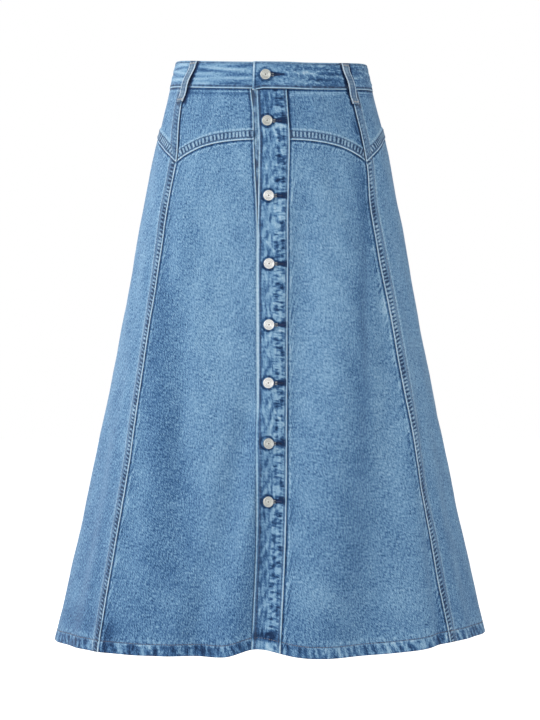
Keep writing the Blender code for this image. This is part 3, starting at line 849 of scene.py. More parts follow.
def loop_shadow_and_unfaded(angle: Array, z: Array) -> Array:
    """How much a belt loop darkens the cloth beside and below it: painted shadow, and cloth kept from
    fading.

    Args:
        angle: angles in degrees.
        z: heights.

    Returns:
        0 to about 1 at each point.
    """
    total = np.zeros(np.broadcast(angle, z).shape)
    down = FORM.waist_top(angle) - z
    for loop in LOOPS:
        share = np.clip(down / (FORM.band_height + LOOP_BELOW_SEAM), 0.0, 1.1)
        middle = loop.top_angle + (loop.foot_angle - loop.top_angle) * share
        side = turn(angle - middle) * FORM.degree(angle, z)
        inside = fall(down - FORM.band_height - LOOP_BELOW_SEAM, 1.0, 4.0)
        # The painted shadow reaches further on the +angle side, away from the key light.
        reach = np.where(side > 0, 4.6, 1.6)
        total += inside * fall(np.abs(side) - LOOP_WIDTH / 2, 1.6, 1.6 + reach)
    return total


def soft_relief(angle: Array, z: Array, per_degree: Array) -> Array:
    """Small unevenness of the hanging cloth and its listed short creases.

    Args:
        angle: angles in degrees.
        z: heights.
        per_degree: metres in one degree.

    Returns:
        Metres outwards.
    """
    around = turn(angle) * HIP_DEGREE
    total = 0.42 * MM * SWELL(around, z) + 0.18 * MM * MOTTLE(around, z)
    total += 0.06 * MM * SHIVER(around, z)
    for crease in CREASES:
        side = turn(angle - crease.angle) * per_degree
        down = crease.z - z
        cosine, sine = math.cos(math.radians(crease.lean)), math.sin(math.radians(crease.lean))
        along = np.abs(down * cosine + side * sine) / crease.length
        across = bump(side * cosine - down * sine, 0.0, crease.width)
        total += crease.height * MM * across * (1 - ramp(along, 0.35, 1.0))
    return total * ramp(-z, 0.015, 0.06)


def wash_and_shade(angle: Array, z: Array) -> Array:
    """The wash with painted light and shade: pale and dark areas that run across seams.

    Args:
        angle: angles in degrees.
        z: heights.

    Returns:
        What it adds to the wear, as wash and as painted light and shade, at each point.
    """
    around = turn(angle) * HIP_DEGREE
    total = 0.035 * SWELL(around + 0.3, z) + 0.04 * MOTTLE(around + 0.2, z)
    # Each patch is partly wash and partly painted light and shade.
    for wash_shade in WASH_SHADES:
        side = turn(angle - wash_shade.angle - wash_shade.drift * (wash_shade.z - z))
        total += wash_shade.amount * bump(side, 0.0, wash_shade.reach_angle) * bump(z, wash_shade.z, wash_shade.reach_z)
    # Painted shadow of the belt loops, with cloth that they kept from fading.
    return total - 0.04 - 1.7 * loop_shadow_and_unfaded(angle, z)


# --- Materials --------------------------------------------------------------------------------
Colour = tuple[float, float, float]
Socket = bpy.types.NodeSocket
SOCKET_KINDS = {float: "Float", int: "Int", tuple: "Color"}


class NodeMaker:
    """Short hand for adding and joining nodes in one tree."""

    def __init__(self, tree: bpy.types.NodeTree) -> None:
        """Work on a tree."""
        self.tree = tree

    @classmethod
    def for_group(cls, name: str, kind: str, inputs: dict[str, object],
                  outputs: dict[str, str]) -> tuple["NodeMaker", bpy.types.NodeOutputs]:
        """Start a node group.

        Args:
            name: its name.
            kind: Shader or Geometry.
            inputs: by name, each input's default, or its type where it has none.
            outputs: by name, each output's type.

        Returns:
            Its node maker, and the group's inputs as its nodes take them.
        """
        make = cls(bpy.data.node_groups.new(name, kind + "NodeTree"))
        for way, sockets in (("INPUT", inputs), ("OUTPUT", outputs)):
            for label, value in sockets.items():
                typed = value if isinstance(value, str) else SOCKET_KINDS[type(value)]
                made = make.tree.interface.new_socket(name=label, in_out=way,
                                                      socket_type="NodeSocket" + typed)
                if value is not typed:
                    made.default_value = value
        return make, make.add("NodeGroupInput").outputs

    def feed(self, node: bpy.types.Node, inputs: dict[object, object]) -> None:
        """Set a node's inputs to values, or join them to other nodes' outputs.

        Args:
            node: the node.
            inputs: what feeds each input.
        """
        for key, value in inputs.items():
            if isinstance(value, Socket):
                self.tree.links.new(value, node.inputs[key])
            else:
                node.inputs[key].default_value = value

    def add(self, kind: str, inputs: dict[object, object] | None = None,
            **settings: object) -> bpy.types.Node:
        """Add a node.

        Args:
            kind: the node's type.
            inputs: what feeds each input, as a value or another node's output.
            settings: the node's own settings.

        Returns:
            The node.
        """
        node = self.tree.nodes.new(kind)
        for name, value in settings.items():
            setattr(node, name, value)
        self.feed(node, inputs or {})
        return node

    def math(self, operation: str, first: object, second: object = 0.0, clamp: bool = False) -> Socket:
        """Output of a Math node."""
        return self.add("ShaderNodeMath", {0: first, 1: second}, operation=operation,
                        use_clamp=clamp).outputs[0]

    def plus(self, first: object, second: object) -> Socket:
        """Sum of two values."""
        return self.math("ADD", first, second)

    def minus(self, first: object, second: object) -> Socket:
        """Difference of two values."""
        return self.math("SUBTRACT", first, second)

    def times(self, first: object, *others: object) -> Socket:
        """Product of values.

        Args:
            first: one value.
            others: what it is multiplied by.

        Returns:
            The product.
        """
        for other in others:
            first = self.math("MULTIPLY", first, other)
        return first

    def total(self, *terms: tuple[object, object]) -> Socket:
        """Sum of values, each times a factor.

        Args:
            terms: pairs of a value and its factor.

        Returns:
            The sum.
        """
        result = 0.0
        for term, factor in terms:
            result = self.plus(result, self.times(term, factor))
        return result

    def span(self, value: object, low: float, high: float, to_low: object = 0.0,
             to_high: object = 1.0) -> Socket:
        """Output of a Map Range node with smooth ends."""
        return self.add("ShaderNodeMapRange", {0: value, 1: low, 2: high, 3: to_low, 4: to_high},
                        interpolation_type="SMOOTHSTEP").outputs[0]

    def window(self, value: object, start: tuple[float, float], end: tuple[float, float]) -> Socket:
        """1 between a smooth rise and a smooth fall, and 0 elsewhere."""
        return self.times(self.span(value, *start), self.span(value, *end, 1.0, 0.0))

    def hump(self, value: object, middle: float, reach: float) -> Socket:
        """A smooth hump of height 1 round a middle."""
        away = self.math("ABSOLUTE", self.minus(value, middle))
        return self.span(away, 0.0, 1.7 * reach, 1.0, 0.0)

    def noise(self, across: object, width: object, along: object, length: object, shift: float,
              detail: float = 1.0) -> Socket:
        """Noise about 0 whose grains have a width and a length.

        Args:
            across: place across the grains.
            width: width of a grain.
            along: place along the grains.
            length: length of a grain.
            shift: sets one noise apart from another.
            detail: how many finer layers it has.

        Returns:
            The noise.
        """
        place = self.add("ShaderNodeCombineXYZ", {0: self.math("DIVIDE", across, width),
                                                  1: self.math("DIVIDE", along, length), 2: shift})
        found = self.add("ShaderNodeTexNoise", {"Vector": place.outputs[0], "Scale": 1.0,
                                                "Detail": detail, "Roughness": 0.55})
        return self.minus(found.outputs[0], 0.5)

    def grains(self, scale: float, detail: float) -> Socket:
        """Even noise that stays with the piece.

        Args:
            scale: grains in a metre.
            detail: how many finer layers it has.

        Returns:
            The noise, 0 to 1.
        """
        place = self.add("ShaderNodeTexCoord").outputs["Object"]
        return self.add("ShaderNodeTexNoise", {"Vector": place, "Scale": scale,
                                               "Detail": detail}).outputs[0]

    def split(self, vector: Socket) -> tuple[Socket, ...]:
        """The three parts of a vector."""
        return tuple(self.add("ShaderNodeSeparateXYZ", {0: vector}).outputs)

    def attribute(self, name: str, output: str = "Fac") -> Socket:
        """A value that the mesh carries."""
        return self.add("ShaderNodeAttribute", attribute_name=name).outputs[output]

    def blend(self, share: object, first: object, second: object) -> Socket:
        """Mix two colours.

        Args:
            share: how much of the second.
            first: a colour or another node's output.
            second: the same for the other end.

        Returns:
            The mixed colour.
        """
        ends = [(*end, 1.0) if isinstance(end, tuple) else end for end in (first, second)]
        return self.add("ShaderNodeMix", {0: share, 6: ends[0], 7: ends[1]},
                        data_type="RGBA").outputs[2]

    def bump(self, height: Socket, strength: float, distance: float) -> Socket:
        """Normals of a fine relief."""
        return self.add("ShaderNodeBump", {"Height": height, "Strength": strength,
                                           "Distance": distance}).outputs[0]


SHADES = ("Indigo", "Deep", "Blue", "Pale", "Bleached", "Felled", "Inside")
SHADE_STEPS = (-1.20, -0.45, 0.0, 0.60, 1.35)       # wear at which the first five shades are pure


def make_weave_group() -> bpy.types.NodeTree:
    """The node group of washed denim: twill, slubs and the fading of the indigo.

    Returns:
        The group, with outputs for colour, height and roughness.
    """
    make, given = NodeMaker.for_group(
        "washed_denim_weave", "Shader",
        {"Cloth": "Vector", "Wear": 0.0, "Grey": 0.0, "Reverse": 0.0, "Streak Length": 3.2,
         "Speckle": 1.0, **{name: (0.5, 0.5, 0.5, 1.0) for name in SHADES}},
        {"Colour": "Color", "Height": "Float", "Roughness": "Float"})
    parts = make.split(given["Cloth"])
    along = make.times(parts[1], 1000.0)
    straight = make.times(parts[0], 1000.0)
    across = make.plus(straight, make.times(along, 0.55))

    streak = make.noise(across, 1.35, along, given["Streak Length"], 3.0)
    thread = make.noise(make.plus(straight, make.times(along, 0.06)), 1.5, along, 11.0, 7.0)
    fleck = make.noise(across, 2.0, along, 2.6, 9.0, 2.0)
    clump = make.noise(across, 4.5, along, 8.0, 5.0, 2.0)
    cloud = make.noise(straight, 20.0, along, 38.0, 1.0, 3.0)
    slant = make.total((across, 1.0), (along, 0.55), (fleck, 1.6))
    twill = make.math("SINE", make.times(slant, 7.4))
    grain = make.total((streak, 2.2), (fleck, 0.9), (thread, 0.9), (clump, 0.4), (cloud, 0.25),
                       (twill, 0.05))
    worn = make.plus(given["Wear"], make.times(grain, given["Speckle"]))

    colour = given[SHADES[0]]
    for name, low, high in zip(SHADES[1:], SHADE_STEPS, SHADE_STEPS[1:]):
        share = make.add("ShaderNodeMapRange", {0: worn, 1: low, 2: high}).outputs[0]
        colour = make.blend(share, colour, given[name])
    dull = make.math("MULTIPLY", given["Grey"], make.span(worn, 0.4, 1.1, 0.38, 0.20), True)
    colour = make.blend(dull, colour, given["Felled"])
    back = make.blend(make.span(grain, -0.2, 0.5, 0.0, 0.5), given["Inside"], given["Blue"])
    make.add("NodeGroupOutput", {
        "Colour": make.blend(given["Reverse"], colour, back),
        "Height": make.total((twill, 0.22), (streak, 0.9), (fleck, 1.1)),
        "Roughness": make.span(worn, -0.8, 1.0, 0.80, 0.96)})
    return make.tree


def make_seam_group() -> bpy.types.NodeTree:
    """The node group of what sewing and washing leave along seams and at the hem, with painted shade in
    the ditches.

    Returns:
        The group: from the marks lap and low it gives wear, greyness and height.
    """
    make, given = NodeMaker.for_group(
        "seam_marks", "Shader",
        {"Lap": "Vector", "Low": "Vector", "Yoke Pitch": 5.3, "Seam Pitch": 5.6, "Rope Pitch": 13.0,
         "Contrast": 1.0},
        {"Wear": "Float", "Grey": "Float", "Height": "Float"})
    s, along, yoke = make.split(given["Lap"])
    ditch, hem, around = make.split(given["Low"])
    level = make.span(yoke, 0.0, 1.0)
    upright = make.minus(1.0, level)

    def kinds(on_long: float, on_yoke: float) -> Socket:
        """One value on the long seams and another on the yoke seams."""
        return make.span(level, 0.0, 1.0, on_long, on_yoke)

    # The ladder of puckers between the two stitch rows.
    drift = make.noise(along, 19.0, s, 30.0, 1.0)
    strength = make.noise(along, 23.0, s, 18.0, 4.0)
    grain = make.noise(along, 2.6, s, 3.2, 8.0)
    pitch = make.span(yoke, 0.0, 1.0, given["Seam Pitch"], given["Yoke Pitch"])
    beside_yoke = make.span(yoke, -1.0, 0.0, 0.35, 1.0)
    leaning = make.plus(along, make.times(s, make.times(upright, 0.45)))
    phase = make.math("DIVIDE", make.times(leaning, 2 * math.pi), pitch)
    wave = make.math("COSINE", make.plus(phase, make.times(drift, 7.0)))
    rungs = make.total((wave, kinds(0.95, 1.25)), (grain, kinds(3.4, 2.2)),
                       (strength, kinds(3.8, 2.6)), (level, 0.38), (beside_yoke, -0.15))
    rungs = make.math("MAXIMUM", make.math("MINIMUM", rungs, 1.10), -1.50)
    near_edge = make.window(s, (1.6, 2.4), (6.6, 9.6))
    whole = make.window(s, (3.6, 4.6), (10.6, 12.4))
    within = make.math("MAXIMUM", make.times(near_edge, upright), make.times(whole, level))
    flat = make.times(make.window(s, (5.0, 8.0), (10.6, 12.4)), upright)
    inner = make.times(within, beside_yoke, make.minus(rungs, 0.18))
    past = make.span(make.math("ABSOLUTE", make.minus(s, 14.8)), 0.0, 2.9, 1.0, 0.0)
    beyond = make.times(past, make.plus(make.times(rungs, 0.22), 0.55))
    groove = make.hump(s, 3.3, 1.1)
    row = make.times(make.hump(s, 12.0, 1.1), make.span(yoke, 0.0, 1.0, 0.5, 1.0))
    lap_wear = make.total((make.span(s, 0.9, 1.8, 1.0, 0.0), 1.20), (inner, kinds(0.98, 0.82)),
                          (flat, -0.10), (groove, kinds(-0.30, -0.70)), (row, -0.42), (beyond, 1.0))

    # The ditch beside a neighbour's edge, darkened with painted shade and less faded cloth, and the
    # uneven pale line next to it.
    uneven = make.noise(along, 5.0, around, 7.0, 2.0)
    pale = make.times(make.hump(ditch, 4.4, 1.3), make.plus(uneven, 0.22))
    depth = make.plus(make.noise(along, 16.0, around, 22.0, 11.0), 0.5)
    # Painted shade in the ditch, with cloth that has faded less.
    dark = make.times(make.span(ditch, 1.6, 3.8, 1.0, 0.0), make.span(depth, 0.30, 0.66, 0.40, 1.0))
    crimp = make.noise(make.total((around, 1.0), (along, 0.5), (ditch, 0.55)), 2.6, ditch, 13.0, 12.0)
    crimp = make.times(make.hump(ditch, 7.0, 4.0), make.minus(crimp, 0.03))
    ditch_shade_and_wear = make.total((dark, -0.58), (pale, 1.5), (crimp, 2.2))

    # The hem, roped and blotched by washing.
    twist = make.noise(around, 30.0, hem, 60.0, 6.0)
    body = make.noise(around, 17.0, hem, 40.0, 3.0, 2.0)
    chip = make.noise(around, 3.6, hem, 9.0, 5.0)
    slant = make.plus(around, make.times(hem, 0.35))
    rope_phase = make.math("DIVIDE", make.times(slant, 2 * math.pi), given["Rope Pitch"])
    rope = make.math("COSINE", make.plus(rope_phase, make.times(twist, 12.0)))
    rope = make.total((rope, 0.45), (chip, 1.9), (body, 4.6))
    roped = make.times(make.span(hem, 13.4, 15.0, 1.0, 0.0), make.minus(rope, 0.25))
    over = make.times(make.hump(hem, 19.5, 4.0), make.plus(make.times(chip, 2.0), 0.10))
    hem_wear = make.total((roped, 0.66), (over, 0.9), (make.hump(hem, 15.3, 0.9), -0.40),
                          (make.hump(hem, 13.6, 1.0), 0.30), (make.span(hem, 0.2, 1.8, 1.0, 0.0), -0.35))

    sewn = make.times(make.window(s, (1.4, 3.0), (12.0, 14.0)),
                      make.span(inner, -0.9, 0.2, 0.35, 1.0))
    make.add("NodeGroupOutput", {
        "Wear": make.total(*((wear, given["Contrast"]) for wear in (lap_wear, ditch_shade_and_wear, hem_wear))),
        "Grey": make.total((sewn, make.span(yoke, 0.0, 1.0, 0.85, 0.80)),
                           (make.hump(hem, 15.2, 2.0), 0.35)),
        "Height": make.total((inner, 0.55), (beyond, 0.3), (groove, -0.45), (row, -0.3),
                             (roped, 0.45), (over, 0.35), (pale, 0.2))})
    return make.tree


def principled(name: str) -> tuple[bpy.types.Material, NodeMaker, bpy.types.Node]:
    """A new material.

    Args:
        name: its name.

    Returns:
        The material, its node maker and its Principled shader.
    """
    material = bpy.data.materials.new(name)
    material.use_nodes = True
    return material, NodeMaker(material.node_tree), material.node_tree.nodes["Principled BSDF"]


@dataclass(frozen=True)
class DenimFinish:
    """Washed mid-blue denim, with its grain along the second length of the cloth map."""

    name: str
    indigo: Colour = (0.006, 0.028, 0.088)
    deep: Colour = (0.044, 0.128, 0.285)
    blue: Colour = (0.157, 0.314, 0.505)
    pale: Colour = (0.330, 0.515, 0.680)
    bleached: Colour = (0.560, 0.705, 0.825)
    felled: Colour = (0.170, 0.245, 0.340)
    inside: Colour = (0.400, 0.460, 0.540)
    streak_length: float = 3.2
    speckle: float = 1.0
    bump: float = 0.35
    seam_relief: float = 2.2
    seams: bool = False             # whether its pieces carry the marks for seams

    def make(self, weave: bpy.types.NodeTree, seam: bpy.types.NodeTree) -> bpy.types.Material:
        """Build the material round the shared groups.

        Args:
            weave: the group for the weave.
            seam: the group for the seams.

        Returns:
            The material.
        """
        material, make, shader = principled(self.name)
        group = make.add("ShaderNodeGroup", node_tree=weave)
        values = {name: make.attribute(name.lower()) for name in ("Wear", "Grey", "Reverse")}
        height = group.outputs["Height"]
        if self.seams:
            marks = make.add("ShaderNodeGroup", node_tree=seam)
            make.feed(marks, {name: make.attribute(name.lower(), "Vector") for name in ("Lap", "Low")})
            for name in ("Wear", "Grey"):
                values[name] = make.plus(values[name], marks.outputs[name])
            height = make.plus(height, make.times(marks.outputs["Height"], self.seam_relief))
        make.feed(group, {
            "Cloth": make.add("ShaderNodeUVMap", uv_map="cloth").outputs[0],
            "Streak Length": self.streak_length, "Speckle": self.speckle, **values,
            **{name: (*getattr(self, name.lower()), 1.0) for name in SHADES}})
        make.feed(shader, {
            "Base Color": group.outputs["Colour"], "Roughness": group.outputs["Roughness"],
            "Normal": make.bump(height, self.bump, 0.35 * MM), "Specular IOR Level": 0.22,
            "Sheen Weight": 0.13, "Sheen Roughness": 0.40, "Sheen Tint": (0.94, 0.98, 0.94, 1.0)})
        return material


@dataclass(frozen=True)
class ThreadFinish:
    """Twisted sewing thread."""

    name: str
    colour: Colour
    worn: Colour

    def make(self) -> bpy.types.Material:
        """Build the material: uneven dye along the thread and a fine twist.

        Returns:
            The material.
        """
        material, make, shader = principled(self.name)
        dye = make.span(make.grains(260.0, 2.0), 0.42, 0.66)
        make.feed(shader, {
            "Base Color": make.blend(dye, self.colour, self.worn), "Roughness": 0.62,
            "Normal": make.bump(make.grains(3200.0, 1.0), 0.4, 0.1 * MM),
            "Specular IOR Level": 0.3, "Sheen Weight": 0.06})
        return material


@dataclass(frozen=True)
class ButtonFinish:
    """Satin nickel, dulled in the turned grooves and round the middle."""

    name: str = "satin_nickel"
    colour: Colour = (0.95, 0.945, 0.935)
    dull: Colour = (0.150, 0.140, 0.118)
    greyed_metal: Colour = (0.62, 0.64, 0.60)
    grooves: tuple[Colour, ...] = (     # radius, reach, depth of the dirt
        (0.0, 1.25 * MM, 1.0), (3.3 * MM, 0.6 * MM, 0.40), (5.2 * MM, 0.55 * MM, 0.38),
        (7.4 * MM, 0.5 * MM, 0.55))

    def make(self) -> bpy.types.Material:
        """Build the material from a radius that each button carries as an attribute.

        Returns:
            The material.
        """
        material, make, shader = principled(self.name)
        dirt = make.span(make.grains(420.0, 3.0), 0.52, 0.82, 0.0, 0.24)
        for middle, reach, depth in self.grooves:
            ring = make.times(make.hump(make.attribute("ring"), middle, reach), depth)
            dirt = make.math("ADD", dirt, ring, True)
        clean = make.blend(make.attribute("greying_share"), self.colour, self.greyed_metal)
        make.feed(shader, {
            "Base Color": make.blend(dirt, clean, self.dull), "Metallic": 0.55,
            "Roughness": make.span(dirt, 0.0, 1.0, 0.40, 0.60),
            "Normal": make.bump(dirt, 0.3, -0.2 * MM)})
        return material


class Wardrobe:
    """All materials of the skirt, made once."""

    def __init__(self) -> None:
        """Make each finish."""
        groups = (make_weave_group(), make_seam_group())
        self.panel = DenimFinish("denim_panels", seams=True).make(*groups)
        self.band = DenimFinish("denim_waistband", speckle=0.8).make(*groups)
        self.placket = DenimFinish("denim_placket", speckle=0.7).make(*groups)
        self.loop = DenimFinish("denim_loops", blue=(0.18, 0.27, 0.37), bleached=(0.56, 0.68, 0.80),
                                speckle=0.8).make(*groups)
        slate = ThreadFinish("thread_slate", (0.034, 0.052, 0.112), (0.13, 0.17, 0.27))
        faded = ThreadFinish("thread_faded", (0.22, 0.27, 0.38), (0.38, 0.43, 0.52))
        brown = ThreadFinish("thread_brown", (0.120, 0.090, 0.085), (0.42, 0.35, 0.29))
        indigo = ThreadFinish("thread_indigo", (0.008, 0.020, 0.068), (0.025, 0.045, 0.145))
        pale = ThreadFinish("thread_pale", (0.36, 0.39, 0.43), (0.54, 0.56, 0.58))
        self.threads = {Thread.STRONG: slate.make(), Thread.FADED: faded.make(),
                        Thread.HEM: brown.make()}
        self.hole_thread = indigo.make()
        self.tack_thread = pale.make()
        self.metal = ButtonFinish().make()


# --- Meshes -----------------------------------------------------------------------------------
def put(name: str, data: bpy.types.ID) -> bpy.types.Object:
    """Put a mesh, light or camera in the scene.

    Args:
        name: its name.
        data: the mesh, light or camera.

    Returns:
        The new object.
    """
    made = bpy.data.objects.new(name, data)
    bpy.context.scene.collection.objects.link(made)
    return made


def link(name: str, mesh: bpy.types.Mesh, material: bpy.types.Material) -> bpy.types.Object:
    """Put a mesh in the scene as a piece with one material.

    Args:
        name: its name.
        mesh: its mesh.
        material: its material.

    Returns:
        The piece.
    """
    mesh.materials.clear()
    mesh.materials.append(material)
    return put(name, mesh)


def settle(piece: bpy.types.Object) -> None:
    """Let a piece ride on the skirt and report it.

    Args:
        piece: the piece.
    """
    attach(piece, BODY)
    LOG.info("%s: %d faces", piece.name, len(piece.data.polygons))


def applied(piece: bpy.types.Object, all_layers: bool = False) -> bpy.types.Mesh:
    """A plain mesh of an object with its modifiers applied.

    Args:
        piece: the object.
        all_layers: whether its maps and attributes are kept.

    Returns:
        The mesh.
    """
    graph = bpy.context.evaluated_depsgraph_get()
    return bpy.data.meshes.new_from_object(piece.evaluated_get(graph), depsgraph=graph,
                                           preserve_all_data_layers=all_layers)


def drawn(name: str, shape: bmesh.types.BMesh) -> bpy.types.Mesh:
    """The mesh of a finished bmesh.

    Args:
        name: its name.
        shape: the bmesh, which is freed.

    Returns:
        The mesh.
    """
    mesh = bpy.data.meshes.new(name)
    shape.to_mesh(mesh)
    shape.free()
    return mesh


def carry(mesh: bpy.types.Mesh, name: str, values: Array) -> None:
    """Give a mesh an attribute with a number or a vector at each point.

    Args:
        mesh: the mesh.
        name: the attribute's name.
        values: a number or a vector for each point.
    """
    kind, key = ("FLOAT", "value") if values.ndim == 1 else ("FLOAT_VECTOR", "vector")
    made = mesh.attributes.new(name, kind, "POINT")
    made.data.foreach_set(key, values.astype(np.float32).ravel())


def wall_mesh(name: str, outer: Array, inner: Array, made: ClothField) -> bpy.types.Mesh:
    """Close the wall between two grids of points, and store how the denim looks on it.

    Args:
        name: the mesh's name.
        outer: grid of the outer face, with rows down the skirt and columns towards +angle.
        inner: grid of the inner face.
        made: the field of the same grid.

    Returns:
        The mesh, smooth, with the map "cloth" and the attributes that the denim reads.
    """
    rows, columns = outer.shape[:2]
    count = rows * columns
    index = np.arange(count).reshape(rows, columns)
    quads = np.stack([index[:-1, :-1], index[1:, :-1], index[1:, 1:], index[:-1, 1:]], axis=-1)
    outside = quads.reshape(-1, 4)
    faces = [outside, outside[:, ::-1] + count]
    for path in (index[:, 0], index[-1, :], index[::-1, -1], index[0, ::-1]):
        faces.append(np.stack([path[1:], path[1:] + count, path[:-1] + count, path[:-1]], axis=-1))
    mesh = bpy.data.meshes.new(name)
    points = np.concatenate([outer.reshape(-1, 3), inner.reshape(-1, 3)])
    mesh.from_pydata(points, [], np.concatenate(faces))
    mesh.update()

    corner = np.empty(len(mesh.loops), dtype=np.int32)
    mesh.loops.foreach_get("vertex_index", corner)
    both = np.concatenate([made.cut.reshape(-1, 2)] * 2)
    mesh.uv_layers.new(name="cloth").data.foreach_set("uv", both[corner].astype(np.float32).ravel())
    for key in ("wear", "grey"):
        carry(mesh, key, np.concatenate([getattr(made, key).ravel()] * 2))
    carry(mesh, "reverse", np.repeat([0.0, 1.0], count))
    for key in ("lap", "low"):
        carry(mesh, key, np.concatenate([getattr(made, key).reshape(-1, 3)] * 2))
    mesh.shade_smooth()
    return mesh


def row_lengths(points: Array) -> Array:
    """Lengths along the rows of a grid, counted from its middle column.

    Args:
        points: the grid.

    Returns:
        A length for each point.
    """
    steps = np.linalg.norm(np.diff(points, axis=1), axis=-1)
    lengths = np.concatenate([np.zeros((len(points), 1)), np.cumsum(steps, axis=1)], axis=1)
    return lengths - lengths[:, [lengths.shape[1] // 2]]


class StitchRow(NamedTuple):
    """A line that a needle follows, with the way each stitch points."""

    points: Array
    lay: Array


def laid(points: Array, way: Array) -> StitchRow:
    """A row whose stitches point a given way."""
    return StitchRow(points, way / np.linalg.norm(way, axis=-1, keepdims=True))


def running(points: Array) -> StitchRow:
    """A row whose stitches lie along its line."""
    return laid(points, np.gradient(points, axis=0))


def cloth_axes(button: ButtonPlace) -> tuple[Vector, Matrix]:
    """The cloth's lie at a button.

    Args:
        button: the button.

    Returns:
        Its place on the body surface, and axes with X across, Y up and Z out of the cloth.
    """
    z = np.array(button.z)
    point, normal = FORM.frame(FORM.angle_across(button.x, z), z)
    out, right = Vector(normal), Vector((1.0, 0.0, 0.0))
    right = (right - out * right.dot(out)).normalized()
    return Vector(point), Matrix((right, out.cross(right), out)).transposed()


@dataclass(frozen=True)
class Keyhole:
    """A buttonhole: a round eye for the shank and a slit towards +X."""

    eye_radius: float = 3.0 * MM
    slit_length: float = 0.0185     # from the button's middle
    slit_width: float = 0.5 * MM
    ring: float = 0.9 * MM          # width of the stitched edging

    def outline(self, grown: float = 0.0, count: int = 20) -> list[tuple[float, float]]:
        """The hole's outline, or a wider one round it.

        Args:
            grown: how far it lies outside the hole's edge.
            count: points round the eye.

        Returns:
            Corners, from one side of the slit round the eye and back.
        """
        radius, half = self.eye_radius + grown, (self.slit_width + 2 * grown) / 2
        start = math.asin(half / radius)
        turns = np.linspace(start, 2 * math.pi - start, count)
        points = [(radius * math.cos(t), radius * math.sin(t)) for t in turns]
        length = self.slit_length
        return points + [(length, -half * 0.5), (length + half, 0.0), (length, half * 0.5)]

    def cut(self, piece: bpy.types.Object, places: Sequence[ButtonPlace]) -> None:
        """Cut the hole through a piece at each of some buttons.

        Args:
            piece: the cloth piece.
            places: the buttons.
        """
        shape = bmesh.new()
        for button in places:
            origin, axes = cloth_axes(button)
            corners = [shape.verts.new(origin + axes @ Vector((x, y, -4 * MM)))
                       for x, y in self.outline()]
            moved = bmesh.ops.extrude_face_region(shape, geom=[shape.faces.new(corners)])["geom"]
            raised = [item for item in moved if isinstance(item, bmesh.types.BMVert)]
            bmesh.ops.translate(shape, verts=raised, vec=axes @ Vector((0.0, 0.0, 14 * MM)))
        bmesh.ops.recalc_face_normals(shape, faces=shape.faces)
        cutter = put("hole_cutter", drawn("hole_cutter", shape))
        modifier = piece.modifiers.new("holes", "BOOLEAN")
        modifier.object = cutter
        modifier.operation = "DIFFERENCE"
        result = applied(piece, True)
        piece.modifiers.clear()
        piece.data = result
        bpy.data.objects.remove(cutter, do_unlink=True)

    def edging(self, face: Face, button: ButtonPlace) -> StitchRow:
        """The row round the hole, whose stitches lie across its line.

        Args:
            face: gives points on the cloth's face.
            button: the hole's button.

        Returns:
            The row.
        """
        outline = self.outline(self.ring, 40)
        corners = np.array(outline + outline[:1])
        steps = np.concatenate([[0.0], np.cumsum(np.linalg.norm(np.diff(corners, axis=0), axis=-1))])
        along = np.linspace(0.0, steps[-1], 120)
        x, up = (np.interp(along, steps, corners[:, axis]) for axis in (0, 1))
        shrink, lift = 0.9, 0.18 * MM
        middle = np.clip(x, 0.0, self.slit_length)
        points = face(button.x + x, button.z + up, lift)
        inner = face(button.x + middle + (x - middle) * shrink, button.z + up * shrink * 0.9, lift)
        return laid(points, points - inner)

    @staticmethod
    def eye_rows(face: Face, button: ButtonPlace) -> list[StitchRow]:
        """Pale stitches round the end of the hole's eye, just beyond the button's head.

        Args:
            face: gives points on the cloth's face.
            button: the hole's button.

        Returns:
            A row below the middle and one above it.
        """
        right = button.x + np.linspace(7.9, 10.6, 8) * MM
        rows = []
        for up in (-1.4 * MM, 1.4 * MM):
            height = np.full(right.shape, button.z + up)
            points = face(right, height, 0.30 * MM)
            rows.append(laid(points, face(right, height + MM, 0.30 * MM) - points))
        return rows


KEYHOLE = Keyhole()


def make_shell(node: str, angle: Array, z: Array, made: ClothField, material: bpy.types.Material,
               rests_on: Sequence[str] = ("waistband",), holes: Sequence[ButtonPlace] = ()) -> None:
    """Args:
        node: the solid that it stands for.
        angle: angles of its grid.
        z: heights of its grid.
        made: the field at the grid's points.
        material: its denim.
        rests_on: what it hangs from; not used.
        holes: the buttons that pass through it.
    """
    point, normal = FORM.frame(angle, z)
    upward = np.array([0.0, 0.0, 1.0]) * made.up[..., None]
    outer = point + normal * made.outer[..., None] + upward
    inner = point + normal * made.inner[..., None] - upward
    name = node + "_cloth"
    piece = link(name, wall_mesh(name, outer, inner, made), material)
    if holes:
        KEYHOLE.cut(piece, holes)
    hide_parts(node)
    settle(piece)


def spread(start_offsets: Sequence[float], end_offsets: Sequence[float], inner_count: int) -> Array:
    """Stations across a piece: fixed distances from both edges and even shares between.

    Args:
        start_offsets: distances from the first edge.
        end_offsets: distances from the other edge.
        inner_count: even steps between them.

    Returns:
        Stations, each with its share and its distance from either edge.
    """
    stations = [(0.0, offset, 0.0) for offset in start_offsets]
    stations += [(k / inner_count, start_offsets[-1], end_offsets[-1])
                 for k in range(1, inner_count)]
    stations += [(1.0, 0.0, offset) for offset in reversed(end_offsets)]
    return np.array(stations)


def place(stations: Array, start: Array, end: Array, start_scale: Array, end_scale: Array) -> Array:
    """Positions of stations between two edges.

    Args:
        stations: shares and distances, as made by spread.
        start: position of the first edge.
        end: position of the other edge.
        start_scale: units in a metre at the first edge.
        end_scale: units in a metre at the other edge.

    Returns:
        A position for each station.
    """
    share, from_start, from_end = stations
    first = start + from_start * start_scale
    last = end - from_end * end_scale
    inner = first + (last - first) * share
    return np.where(share == 0.0, first, np.where(share == 1.0, last, inner))


